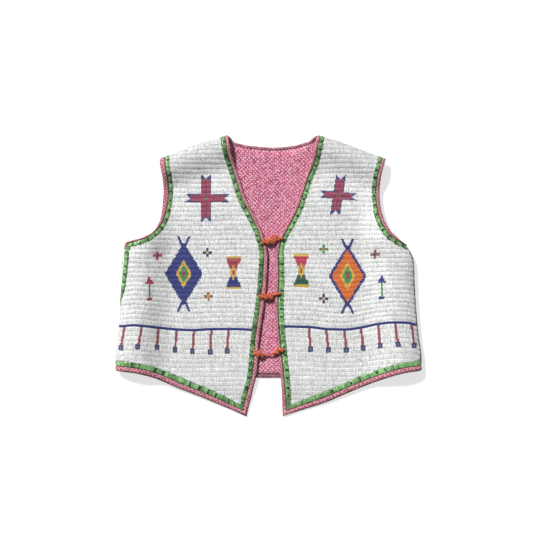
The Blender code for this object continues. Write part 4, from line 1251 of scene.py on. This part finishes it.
def make_front_skin(side, whole, run, stops, at):
    line = Line(side)
    depth = 5.0 - 4.2 * ease((run - stops[at["hem_end"]] + 2.0) / 14.0) * ease(
        (stops[at["underarm"]] - 2.0 - run) / 14.0)
    inset = inset_points(whole, 1.0, corner_limit=2.0)
    inset = whole + (inset - whole) * depth[:, None]
    top_in, top_out = inset[0], inset[-1]
    loop = np.vstack([inset, [[top_out[0], top_out[1] + 40]], [[top_in[0], top_in[1] + 40]]])
    columns = np.arange(10.0, SIDE_REF[side] + 60.0, BEAD_W)
    rows = np.arange(-140, 310)
    surface = lambda a, b: front(side, a, b)
    shoulder_h = np.linspace(20, 260, 481)
    shoulder_line = shoulder_t(side, shoulder_h)
    top_t = lambda h: np.interp(h, shoulder_h, shoulder_line)

    def relief(flat, row, column):
        lane, across = lane_place(row)
        rise = -0.55 + 0.84 * hump(across)
        string = grain(column, lane, 3 + side) - 0.5
        slack = 0.25 * np.sin(column / 17.0 + 2.3 * lane) + 0.2 * np.sin(column / 6.1 + lane)
        return rise + (0.40 * string + 0.35 * slack) * hump(across)

    def colour_of(middle, place, row, column):
        colours = np.tile(np.array(WHITE), (len(middle), 1))
        lane, across = lane_place(row)
        ends = (row - LINE_ROWS) % LANE_ROWS
        ends = (ends == 0) | (ends == LANE_ROWS - 1)
        # at the lanes' ends some beads are painted dark, for thread and painted shade in the gaps between lanes; a
        # few dark beads lie anywhere
        painted_gap_shade_and_dark_beads = ends & (grain(column, row, 31) > 0.88) | (grain(column, row, 33) > 0.97)
        colours[painted_gap_shade_and_dark_beads] = (0.42, 0.42, 0.41)
        colours *= (1 + 0.28 * (grain(column, lane, 35) - 0.5))[:, None]
        # painted light: whiter over the chest; painted shade: greyer over the shoulder's fold
        ridge = top_t(middle[:, 0]) - middle[:, 1]
        chest_painted_light = ease((ridge - 30.0) / 25.0) * ease((150.0 - ridge) / 50.0)
        colours *= (1 + (0.12 if side == RIGHT else 0.08) * chest_painted_light)[:, None]
        colours *= (1 - 0.24 * ease((34.0 - ridge) / 26.0))[:, None]
        front_design(side, place[:, 0], place[:, 1], colours)
        colours[(row >= 0) & (row < LINE_ROWS - 1)] = PALETTE["navy"]
        # painted shade: the beads at each lane's ends are a little darker
        painted_lane_end_shade = np.where(ends, 0.95, 1.0)
        return bead_tones(colours * painted_lane_end_shade[:, None], column.astype(float), row.astype(float),
                          5 + side, 0.17)

    skin = bead_skin(f"front_{NAMES[side]}_beadwork", surface, side, columns, rows,
                     lambda h, v: lane_t(side, h, v, line), loop, relief, colour_of,
                     top_t=top_t, snap_loop=inset_points(whole, 0.1)[::2], snap_within=2.6)
    return skin


def make_front_hide(side, whole):
    """The hide and backing under the beads, lined with calico."""
    surface = lambda a, b: front(side, a, b)
    inset = inset_points(dense_with(whole[::3], 4.0), 0.9, corner_limit=1.5)
    loop = np.vstack([inset, np.column_stack([
        np.linspace(inset[-1, 0], inset[0, 0], 26)[1:-1],
        shoulder_t(side, np.linspace(inset[-1, 0], inset[0, 0], 26)[1:-1]) - 0.1])])
    chart, faces = fill(loop, lattice(np.arange(12.0, 300.0, 6.5), np.arange(-244.0, 210.0, 7.0),
                                      (5, 10, 15, 20, 26, 32, 39, 46),
                                      lambda h: shoulder_t(side, h)[0]), clear_by=3.5)
    points = surface(chart[:, 0], chart[:, 1])
    out = normals(surface, chart[:, 0], chart[:, 1], side)
    both = np.vstack([points - out * 1.3, points - out * WALL])
    count = len(chart)
    closed = [tuple(f) for f in faces]
    closed += [tuple(k + count for k in reversed(f)) for f in faces]
    edges = {pair for f in faces for pair in zip(f, f[1:] + f[:1])}
    closed += [(b, a, a + count, b + count) for a, b in sorted(edges) if (b, a) not in edges]
    uv = np.vstack([chart, chart])
    return new_object(f"front_{NAMES[side]}_hide", both, closed, flip=side < 0, uv=uv)


def make_green_lane(name, side, whole, run, stops, first, last, inner, shift, widen, tone):
    """A lane of green beads, its strings across, over stations first to last.
    shift and widen set, for each length along the edge, how far inwards it
    starts and how much wider it is; tone sets how light it is and how much
    that varies."""
    surface = lambda a, b: front(side, a, b)
    length = stops[last] - stops[first]
    count = max(8, int(round(length / BEAD_W)))
    s = np.linspace(stops[first], stops[last], count + 1)
    outer = np.column_stack([np.interp(s, run, whole[:, i]) for i in range(2)])
    knots = np.arange(first, last + 1)
    q = np.interp(s, stops[first:last + 1], knots)
    inside = np.column_stack([hermite(knots, inner[first:last + 1, i], q) for i in range(2)])
    beads = LANE_ROWS
    shares = np.concatenate([[0.0], np.linspace(0.0, 1.0, beads + 1), [1.0]])
    up = np.concatenate([[-1.4], -0.35 + 1.45 * hump(np.linspace(0, 1, beads + 1)), [-1.4]])
    strings = np.arange(count + 1)
    jitter = grain(strings, 1, 9 + side) - 0.5
    low_end = shift(s) + 0.035 + 0.05 * (grain(strings, 2, 5) - 0.5)
    high_end = (1.0 + 0.10 * (grain(strings, 3, 6) - 0.5)) * widen(s) + shift(s)
    share = low_end[:, None] + (high_end - low_end)[:, None] * shares[None]
    chart = outer[:, None] + (inside - outer)[:, None] * share[..., None]
    h, t = chart[..., 0].ravel(), chart[..., 1].ravel()
    limit = shoulder_t(side, h)
    t = np.where(t > limit, limit, t)
    points = surface(h, t)
    height = up[None] + 0.35 * jitter[:, None] * (up[None] > -0.3)
    height = height + 0.8 * np.clip(shift(s) / 0.3, 0, 1)[:, None] * (up[None] > -1.0)
    points = points + normals(surface, h, t, side) * height.ravel()[:, None]
    wide = len(shares)
    k, j = np.meshgrid(np.arange(count), np.arange(wide - 1), indexing="ij")
    quads = np.stack([k * wide + j, (k + 1) * wide + j, (k + 1) * wide + j + 1,
                      k * wide + j + 1], axis=-1).reshape(-1, 4)
    kk, jj = k.ravel(), np.clip(j.ravel() - 1, 0, beads - 1)
    # strings differ in shade, in small runs from one hank or another
    along_lane = s[:-1] - s[0]
    hank = np.floor(along_lane / 6.0 + 1.2 * np.sin(along_lane / 17.0))
    level = tone(s[:-1])
    bright = (level[:, 0] + level[:, 1] * (grain(hank, 4, side + 7) - 0.5)
              + 0.75 * (grain(np.floor(along_lane / 2.8), 5, 8) - 0.5))
    base = np.array([0.265, 0.56, 0.200])
    dark = np.array([0.020, 0.078, 0.018])
    shade = dark + (base - dark) * np.clip(bright, 0, 1.15)[:, None]
    colours = shade[kk]
    # the outermost bead at each end of a string is much darker: thread and painted shade where the lane dips into
    # the hide
    colours = colours * np.where((jj == 0) | (jj == beads - 1), 0.38, 1.0)[:, None]
    colours[grain(kk, jj, 41) > 0.93] = (0.30, 0.55, 0.24)
    colours[grain(kk, jj, 43) > 0.90] = (0.015, 0.05, 0.02)
    spot = along_lane + 4.0 * np.sin(along_lane / 31.0)
    sparse = 0.62 if "hem" in name else 0.12
    bar = (np.mod(spot, 14.5) < 3.0) & (grain(np.floor(spot / 14.5), 8, side) > sparse)
    middle = 1 if side == RIGHT and "hem" in name else 2
    mark = bar[kk] & (jj >= middle) & (jj <= beads - 1 - middle + (grain(kk, 6, 3) > 0.5))
    colours[mark] = PALETTE["black"] if side == LEFT else (0.012, 0.038, 0.017)
    colours = bead_tones(colours, kk.astype(float), jj.astype(float), 11 + side, 0.38)
    uv = np.column_stack([np.repeat(strings, wide),
                          np.tile(np.concatenate([[-0.2], np.arange(beads + 1), [beads + 0.2]]),
                                  count + 1)])
    return new_object(name, points, [tuple(f) for f in quads.tolist()], flip=side < 0,
                      uv=uv, colours=colours)


def make_strip(name, surface, outward, line, widths, top, bottom, flip, first=None,
               last=None, gap=GAP, seed=0.0, over=0.0, painted_shade=0.0):
    """A rounded binding strip beyond an edge, a little puckered.  Its last
    argument sets how much painted shade darkens it where it turns under, from 0 to 1."""
    coarse = arc_of(line)
    line = dense_with(line, 2.2)
    run = arc_of(line)
    if np.ndim(widths):
        widths = np.interp(run, coarse, widths)
    if np.ndim(gap):
        gap = np.interp(run, coarse, gap)
    if np.ndim(over):
        over = np.interp(run, coarse, over)
    painted_shade = np.interp(run, coarse, painted_shade) if np.ndim(painted_shade) else np.full(len(run), float(painted_shade))
    middle, half = (top + bottom) / 2, (top - bottom) / 2
    moved = inset_points(line, -1.0, first=first, last=last) - line
    moved *= true_width(surface, line, moved)[:, None]
    section = [(-0.10, 0.35), (0.03, 0.86), (0.22, 1.05), (0.48, 1.08), (0.72, 0.92),
               (0.92, 0.52), (1.0, 0.0), (0.93, -0.5), (0.72, -0.9), (0.40, -1.0),
               (0.08, -1.0), (0.0, -0.3)]
    pucker = 0.10 * np.sin(run / 2.3 + seed) + 0.08 * np.sin(run / 0.9 + 2 * seed) + 0.10 * np.sin(run / 7.1 + seed)
    rings, around = [], 0.0
    uv = []
    before = None
    for out, up in section:
        chart = line + moved * (gap - over + (widths + over) * (out + 0.04 * pucker))[:, None]
        points = surface(chart[:, 0], chart[:, 1])
        rise = middle + half * up * (1 + 0.10 * pucker * (up > 0))
        points = points + normals(surface, chart[:, 0], chart[:, 1], outward) * rise[:, None]
        points[:, 2] = np.maximum(points[:, 2], 0.0)
        if before is not None:
            around += float(np.median(np.linalg.norm(points - before, axis=1)))
        before = points
        rings.append(points)
        uv.append(np.column_stack([run, np.full(len(run), around + 40 * seed)]))
    rings, uv = np.stack(rings, axis=1), np.stack(uv, axis=1)
    stops, sides = rings.shape[:2]
    # painted shade: the strip is darker where it turns under, most at its outermost turn and underneath
    fall = np.array([0.15, 0, 0, 0.22, 0.80, 0.95, 0.95, 0.85, 0.7, 0.6, 0.6, 0.4])
    soft = np.array([1.0, 1.06, 1.12])          # the painted shade turns warmer as it darkens
    keep = 1 - (painted_shade * (0.8 + 0.2 * np.sin(run / 4.7 + seed)))[:-1, None] * fall[None]
    shades = np.vstack([np.clip(keep.reshape(-1, 1) ** soft, 0, 1),
                        np.full((2, 3), 0.6)])
    return new_object(name, rings.reshape(-1, 3), swept((stops, sides)), flip=flip,
                      uv=uv.reshape(-1, 2), colours=shades)


def dense_with(line, step):
    """More points on a polyline, its own kept."""
    out = [line[:1]]
    for a, b in zip(line[:-1], line[1:]):
        n = max(1, int(np.ceil(np.linalg.norm(b - a) / step)))
        out.append(a + (b - a) * (np.arange(1, n + 1) / n)[:, None])
    return np.vstack(out)


# How far the drawn edges lie beyond the outline, in millimetres: along the
# front edge (rows y, inwards to the other front), and along the hem.
EDGE_NUDGE = {
    RIGHT: [(-225, 0.0), (-205, 0.5), (-178, 2.4), (-154, 3.0), (-122, 2.0), (-90, 2.2),
            (-58, 3.0), (-20, 2.2), (5, 2.0), (37, 3.0), (50, 2.6), (69, 0.9), (85, 0.0),
            (133, 0.0), (150, 1.2), (165, 1.8), (196, 1.8), (214, 0.0)],
    LEFT: [(-225, 0.0), (-40, 0.0), (-20, -0.9), (10, -1.2), (30, -0.2), (60, 0.0),
           (90, -1.0), (120, -1.6), (160, -1.2), (200, -1.0), (214, 0.0)],
}
HEM_NUDGE = {RIGHT: (160.0, 30.0, 2.6), LEFT: (300.0, 30.0, 0.0)}


def nudge(side, points, from_edge, to_hem):
    """Points of an edge moved to where the photo shows it."""
    out = np.array(points, float)
    rows = np.array(EDGE_NUDGE[side])
    out[:, 0] -= from_edge * np.interp(points[:, 1], rows[:, 0], rows[:, 1])
    middle, wide, much = HEM_NUDGE[side]
    out[:, 1] -= to_hem * much * np.exp(-((points[:, 0] - middle) / wide) ** 2)
    return out


SIDE_LANE_IN = {RIGHT: 0.34, LEFT: 0.0}
ARM_BINDING = {RIGHT: (1.0, 50.0, 40.0), LEFT: (1.3, 12.0, 24.0)}
sheets = {}
for side in (RIGHT, LEFT):
    which = NAMES[side]
    whole, run, stops, stations_line, at = front_dense_edge(side)
    inner = ring_points(side, stations_line)
    order = np.arange(len(inner))
    inner = nudge(side, inner, (order <= at["point"]) * 1.0,
                  ((order > at["point"]) & (order <= at["hem_end"])) * 1.0)
    whole = nudge(side, whole, (run <= stops[at["point"]]) * 1.0,
                  ((run > stops[at["point"]]) & (run <= stops[at["hem_end"]])) * 1.0)
    skin = finish_piece(make_front_skin(side, whole, run, stops, at), WHITE_BEADS, "white_beads")
    hide = make_front_hide(side, whole)
    finish_piece(hide, LINING_CLOTH, "calico", f"front_{which}")
    stretches = {
        "edge_lane": (0, at["point"]), "hem_lane": (at["point"], at["hem_end"]),
        "side_lane": (at["hem_end"], at["underarm"]),
        "armhole_lane": (at["underarm"], at["tip"])}
    # the hem's lane and binding are wider than the front edge's, and the
    # side lane lies a little inside the seam
    hem_from, hem_to, under_at = (stops[at[k]] for k in ("point", "hem_end", "underarm"))
    hem_share = lambda r: ease((r - hem_from - 4.0) / 60.0) * ease((hem_to + 30.0 - r) / 26.0)
    side_share = lambda r: ease((r - hem_to - 6.0) / 30.0) * ease((under_at - 4.0 - r) / 22.0)
    inwards = SIDE_LANE_IN[side]
    slips = lambda r: (side == RIGHT) * ease((-22.0 - np.interp(r, run, whole[:, 1])) / 40.0) * (
        ease((r - hem_to + 2.0) / 12.0) * ease((under_at - r) / 10.0))
    shift = lambda r: 0.12 * hem_share(r) + inwards * side_share(r) * (1 - slips(r))
    broad = 0.20 if side == LEFT else 0.06
    neck_to = stops[at["point"]] - 300.0
    widen = lambda r: (1 + 0.16 * ease((r - hem_from - 4.0) / 60.0) * ease((hem_to + 40.0 - r) / 34.0)
                       + broad * ease((r - neck_to) / 60.0) * ease((hem_from - 4.0 - r) / 20.0)
                       - 0.62 * slips(r))
    # each lane's lightness is set along its edge, darker towards the neck on both fronts; the viewer's left front
    # edge lane is painted dark as painted shade, and is the most mottled; the viewer's right side lane is painted
    # darker still as painted shade
    marks = [stops[at[k]] for k in ("point", "hem_end", "underarm")]
    if side == RIGHT:
        stretch, light, vary = ([0, 70, 110, neck_to, neck_to + 30, marks[0] - 20, marks[0] + 20,
                                 marks[1], marks[2], run[-1]],
                                [0.30, 0.47, 0.66, 0.64, 0.37, 0.37, 0.70, 0.76, 0.82, 0.72],
                                [0.5, 0.6, 0.6, 0.6, 0.7, 0.7, 0.5, 0.4, 0.5, 0.7])
    else:
        stretch, light, vary = ([0, 60, 110, neck_to, marks[0], marks[0] + 20, marks[1] - 4,
                                 marks[1] + 12, marks[2] - 12, marks[2] + 8, run[-1]],
                                [0.35, 0.58, 0.78, 0.80, 0.74, 0.88, 0.86, 0.14, 0.14, 0.6, 0.6],
                                [0.5, 0.5, 0.4, 0.3, 0.3, 0.25, 0.3, 0.3, 0.3, 0.6, 0.6])
    tone = lambda r: np.column_stack([np.interp(r, stretch, light), np.interp(r, stretch, vary)])
    for what, (a, b) in stretches.items():
        lane = make_green_lane(f"{what}_{which}_beads", side, whole, run, stops, a, b, inner,
                               shift, widen, tone)
        finish_piece(lane, GREEN_BEADS, "green_beads", f"{what}_{which}")
    surface = lambda a, b, side=side: front(side, a, b)
    corner = [int(np.abs(run - stops[at[k]]).argmin()) for k in ("hem_end", "underarm")]
    edge = trimmed(whole[:corner[0] + 1], 0.2, 0.2)
    edge_run = arc_of(edge)
    wide_hem = ease((edge_run - hem_from - 4.0) / 60.0)
    near_point = np.exp(-((edge_run - hem_from) / 30.0) ** 2)
    # the edge binding carries painted shade where it turns under: strong along the hem and along the viewer's left
    # front edge, light along the other front's edge
    strip = make_strip(f"edge_binding_{which}_cloth", surface, side, edge,
                       BIND + 2.2 * wide_hem + 2.0 * near_point
                       + (1.8 * ease((edge_run - neck_to) / 30.0) * ease((hem_from - edge_run) / 30.0)
                          if side == RIGHT else 0.0), BIND_TOP, BIND_LOW,
                       side == RIGHT, first=-shoulder_way(side, edge[0, 0]), last=(0, -1),
                       seed=1.0 + side, over=1.2 * wide_hem,
                       painted_shade=np.maximum((0.95 if side == LEFT else 0.85)
                                      * ease((edge_run - hem_from) / 8.0),
                                      (0.9 if side == RIGHT else 0.3)
                                      * ease((edge_run - neck_to + 20.0) / 30.0)))
    finish_piece(strip, BINDING_CLOTH, "calico", f"edge_binding_{which}")
    arm = trimmed(whole[corner[1]:], 0.6, 0.2)
    arm_run = arc_of(arm)
    slim, start, grow = ARM_BINDING[side]
    widths = (slim + (BIND - slim) * ease((arm_run - start) / grow)
              + (3.6 if side == RIGHT else 0.0) * ease((arm_run - start - 0.7 * grow) / 45.0))
    # the armhole binding carries painted shade where it turns under, more on the viewer's right
    strip = make_strip(f"armhole_binding_{which}_cloth", surface, side, arm, widths,
                       BIND_TOP, BIND_LOW, side == RIGHT, first=(0, 1),
                       last=shoulder_way(side, arm[-1, 0]), gap=GAP, seed=2.5 + side,
                       painted_shade=0.75 if side == LEFT else 0.3)
    finish_piece(strip, BINDING_CLOTH, "calico", f"armhole_binding_{which}")
    wide = np.ptp(whole[:, 0]) * MM
    long = np.ptp(whole[:, 1]) * MM
    sheets[hide.name] = (wide, long, polygon_area(whole) * MM * MM)

# -------------------------------------------------------------- back panel
edges, bottom, top, cuts = back_edges()
outline = np.vstack([bottom[:-1], edges[LEFT][:-1], top[::-1][:-1], edges[RIGHT][::-1][:-1]])


def make_back_skin():
    loop_closed = np.vstack([outline[-1:], outline, outline[:1]])
    keep = inset_points(loop_closed, 0.7)[1:-1]
    snap = inset_points(loop_closed, 0.15)[1:-1]
    columns = np.arange(-292.0, 292.0, 2.0)
    rows = np.arange(-84, 320, 1.4)
    lanes = inset_points(loop_closed, LANE, corner_limit=1.5)[1:-1]

    def relief(flat, row, column):
        _, across = lane_place(np.round(row))
        return -0.95 + 0.85 * hump(across)

    def colour_of(middle, place, row, column):
        colours = np.tile(np.array(WHITE), (len(middle), 1))
        line_rows = (row >= -0.2) & (row < LINE_ROWS)
        colours[line_rows] = PALETTE["navy"]
        for k in range(-8, 9):
            x0 = k * 30.6
            stem = (abs(middle[:, 0] - x0) < 2.05) & (middle[:, 1] < LINE_T) & (middle[:, 1] > LINE_T - 38)
            box = (abs(middle[:, 0] - x0) < 4.5) & (abs(middle[:, 1] - LINE_T + 38) < 4.8)
            colours[stem & ~line_rows] = PALETTE["red"]
            colours[box] = PALETTE["navy"]
        near = chunked_gap(middle, outline)
        seams = (abs(middle[:, 0]) > 262) & (middle[:, 1] < 46) & (middle[:, 1] > -150)
        ridge = np.where(middle[:, 0] < 0, shoulder_t(RIGHT, -middle[:, 0], True),
                         shoulder_t(LEFT, middle[:, 0], True))
        at_top = (ridge - middle[:, 1] < 9.4) & (abs(middle[:, 0]) > 88) & (near > 0.0)
        armhole_or_neck = (near < LANE) & ~at_top & ~seams
        colours[armhole_or_neck] = (0.10, 0.33, 0.08)
        return bead_tones(colours, column.astype(float), row * 1.0, 21)

    def t_of(h, v):
        return v + 0.8 * ripple(h, v, 2.0)

    return bead_skin("back_beadwork", back_whole, -1, columns, rows, t_of, keep, relief,
                     colour_of, snap_loop=snap, unit=(2.0 / BEAD_W, 1.0))


def back_mesh(name, high_side, low_side, inset, step, wrinkled=False):
    loop_closed = np.vstack([outline[-1:], outline, outline[:1]])
    ring = inset_points(loop_closed, inset)[1:-1]
    grids = []
    for side in (RIGHT, LEFT):
        part = lattice(np.arange(step / 2, 300.0, step), np.arange(-176.0, 210.0, step),
                       (4, 8, 12, 17, 22, 28, 34, 40),
                       lambda x, side=side: shoulder_t(side, x, True)[0])
        grids.append(part * (side, 1))
    points, faces = fill(ring, np.vstack(grids), clear_by=step * 0.6)
    where = back_whole(points[:, 0], points[:, 1])
    out = normals(back_whole, points[:, 0], points[:, 1], -1)
    under = np.full(len(points), float(low_side))
    if wrinkled:
        q, t = points.T
        wave = (np.sin(q / 9.0 + 1.4 * np.sin(t / 21.0)) * np.sin(t / 33.0 + q / 70.0)
                + 0.7 * np.sin(t / 7.5 + q / 26.0))
        under -= np.where(gap_to(points, ring) < 1.0, 0.0, 0.18 * (wave + 0.6).clip(0))
    both = np.vstack([where + out * high_side, where + out * under[:, None]])
    count = len(points)
    closed = [tuple(f) for f in faces] + [tuple(k + count for k in reversed(f)) for f in faces]
    pairs = {pair for f in faces for pair in zip(f, f[1:] + f[:1])}
    closed += [(b, a, a + count, b + count) for a, b in sorted(pairs) if (b, a) not in pairs]
    return new_object(name, both, closed, flip=True, uv=np.vstack([points, points]))


back_skin = finish_piece(make_back_skin(), WHITE_BEADS, "white_beads")
back_hide = finish_piece(back_mesh("back_hide", -1.5, -WALL, 0.3, 5.5), LINING_CLOTH, "calico", "back")
lining_top = -(WALL + GAP)
lining = finish_piece(back_mesh("back_lining_cloth", lining_top, lining_top - LINING, BACK_RING, 5.0,
                                wrinkled=True),
                      LINING_CLOTH, "calico", "back_lining")
corner = len(SIDE_ROWS) - 1
neck = trimmed(top[cuts[0]:cuts[1] + 1][::-1], 0.9, 0.9)
arms = {RIGHT: trimmed(edges[RIGHT][corner:], 0.6, 0.4)[::-1],
        LEFT: trimmed(edges[LEFT][corner:], 0.6, 0.4)}
ways, tips = {}, {}
for side, h in ((RIGHT, -neck[-1, 0]), (LEFT, neck[0, 0])):
    ways[side] = shoulder_way(side, h, True) * (side, 1)
for side in (RIGHT, LEFT):
    tip = arms[side][0 if side == RIGHT else -1]
    tips[side] = shoulder_way(side, side * tip[0], True) * (side, 1)
strips = (
    ("hem_binding_back", trimmed(bottom, 0.2, 0.2), BIND, (0, -1), (0, -1), 0.4, 4.0),
    ("neck_binding_back", neck, BIND, -ways[LEFT], -ways[RIGHT], 0.4, 5.0),
    ("armhole_binding_back_right", arms[RIGHT], 3.6, tips[RIGHT], (0, 1),
     armhole_gap(arms[RIGHT], True), 6.0),
    ("armhole_binding_back_left", arms[LEFT], 3.6, (0, 1), tips[LEFT],
     armhole_gap(arms[LEFT]), 7.0),
)
for name, line, width, first, last, gap, seed in strips:
    # each back binding carries painted shade where it turns under, most along the hem
    strip = make_strip(name + "_cloth", back_whole, -1, line, width, BACK_BIND_TOP,
                       BACK_BIND_LOW, True, first, last, gap, seed,
                       painted_shade=0.9 if name == "hem_binding_back" else 0.4)
    finish_piece(strip, BINDING_CLOTH, "calico", name)
area = polygon_area(outline) * MM * MM
wide, long = np.ptp(outline[:, 0]) * MM, np.ptp(outline[:, 1]) * MM
sheets["back_hide"] = sheets["back_lining_cloth"] = (wide, long, area)


# -------------------------------------------------------------------- ties
# Knots of each tie: share of its length, half length and half height of the
# knot, and how many turns of cord lie round it.
KNOTS = {
    "tie_top": [(0.28, 6.5, 5.0, 3), (0.57, 8.5, 6.6, 4)],
    "tie_middle": [(0.28, 8.5, 6.6, 4), (0.50, 5.0, 4.8, 2)],
    "tie_bottom": [(0.17, 8.0, 5.0, 3), (0.79, 9.0, 4.4, 3)],
}


def tube(path, radii, sides=10, twist=0.0, squash=1.0):
    """Rings of a round tube along a path; squash flattens it."""
    ahead = np.gradient(path, axis=0)
    ahead /= np.linalg.norm(ahead, axis=1, keepdims=True)
    across = np.cross(ahead, (0.13, 0.21, 0.97))
    across /= np.linalg.norm(across, axis=1, keepdims=True)
    over = np.cross(across, ahead)
    angle = np.linspace(0, 2 * np.pi, sides, endpoint=False)[None] + twist
    return path[:, None] + np.reshape(radii, (-1, 1, 1)) * (
        np.cos(angle)[..., None] * across[:, None]
        + squash * np.sin(angle)[..., None] * over[:, None])


def make_tie(name, rows):
    """A two-ply cord and its knots, as two meshes of closed tubes."""
    rows = np.asarray(rows, float)
    share = np.arange(len(rows))
    length = arc_of(rows[:, :2])[-1]
    fine = np.linspace(0, len(rows) - 1, int(length / 0.4))
    x, y, radius, up = (hermite(share, rows[:, i], fine) for i in range(4))
    path = np.column_stack([x, y, WALL + GAP + LINING + up])
    run = arc_of(path)
    ahead = np.gradient(path, axis=0)
    ahead /= np.linalg.norm(ahead, axis=1, keepdims=True)
    across = np.cross(ahead, (0, 0, 1.0))
    across /= np.linalg.norm(across, axis=1, keepdims=True)
    over = np.cross(across, ahead)
    taper = ease((run + 0.6) / 4.5) * ease((run[-1] - run + 0.6) / 4.5)
    points, faces, uv, count = [], [], [], 0

    def add(ring, turn):
        nonlocal count
        stops, sides = ring.shape[:2]
        points.append(ring.reshape(-1, 3))
        faces.extend(tuple(k + count for k in f) for f in swept((stops, sides)))
        far = arc_of(ring.mean(axis=1))
        uv.append(np.stack(np.broadcast_arrays(
            far[:, None] + 13.0 * turn, (np.arange(sides) / sides)[None]), axis=-1).reshape(-1, 2))
        count += stops * sides

    for ply in (0, 1):
        turn = 2 * np.pi * run / 7.5 + np.pi * ply
        loose = 1 + 0.12 * np.sin(run / 3.1 + 2 * ply)
        size = (0.75 + 0.95 * taper) * loose
        off = 1.25 * taper * loose
        if name == "tie_bottom":      # thin where it sags between its knots
            thin = np.exp(-((run / run[-1] - 0.5) / 0.2) ** 4)
            size, off = size * (1 - 0.45 * thin), off * (1 - 0.45 * thin)
        line = path + off[:, None] * (np.cos(turn)[:, None] * across + np.sin(turn)[:, None] * over)
        add(tube(line, size, 12, turn[:, None] * 0.0), ply)
    thing = new_object(name + "_cord", np.vstack(points), faces, uv=np.vstack(uv))
    finish_piece(thing, TIE_CORD, "tie", name)
    points, faces, uv, count = [], [], [], 0
    for k, (middle, half, tall, turns) in enumerate(KNOTS[name]):
        at = middle * run[-1]
        for n in range(turns):
            place = at + half * (2 * (n + 0.5) / turns - 1) * 0.72
            base = [np.interp(place, run, path[:, i]) for i in range(3)]
            i = int(np.interp(place, run, np.arange(len(run))))
            way = (-1) ** n * 0.62 + 0.45
            angle = np.linspace(0, 2 * np.pi, 40)[:-1]
            big = tall - 0.9 * abs(2 * (n + 0.5) / turns - 1) + 0.5 * (-1) ** (n + k)
            hoop = (np.array(base)[None]
                    + np.cos(angle)[:, None] * big * (across[i] + ahead[i] * way)[None] * 0.92
                    + np.sin(angle)[:, None] * min(big * 0.80, 3.4) * over[i][None]
                    + np.sin(2 * angle + n)[:, None] * 0.35 * ahead[i][None])
            loop = np.vstack([hoop, hoop[:1]])
            ring = tube(loop, 1.7 + 0.35 * np.sin(np.arange(len(loop)) / 3.0 + n), 10)
            add(ring, 2 + n + 5 * k)
    knot = new_object(name + "_knot", np.vstack(points), faces, uv=np.vstack(uv))
    finish_piece(knot, TIE_CORD, "tie")
    return run[-1]


for name, rows in TIES.items():
    length = make_tie(name, rows)
    print("tie", name, round(length, 1), "mm")
for name, facts in sheets.items():
    print("sheet", name, [round(f, 4) for f in facts])
for thing in scene.objects:
    if thing.type == "MESH" and not thing.hide_render:
        print("tris", thing.name, sum(len(f.vertices) - 2 for f in thing.data.polygons))
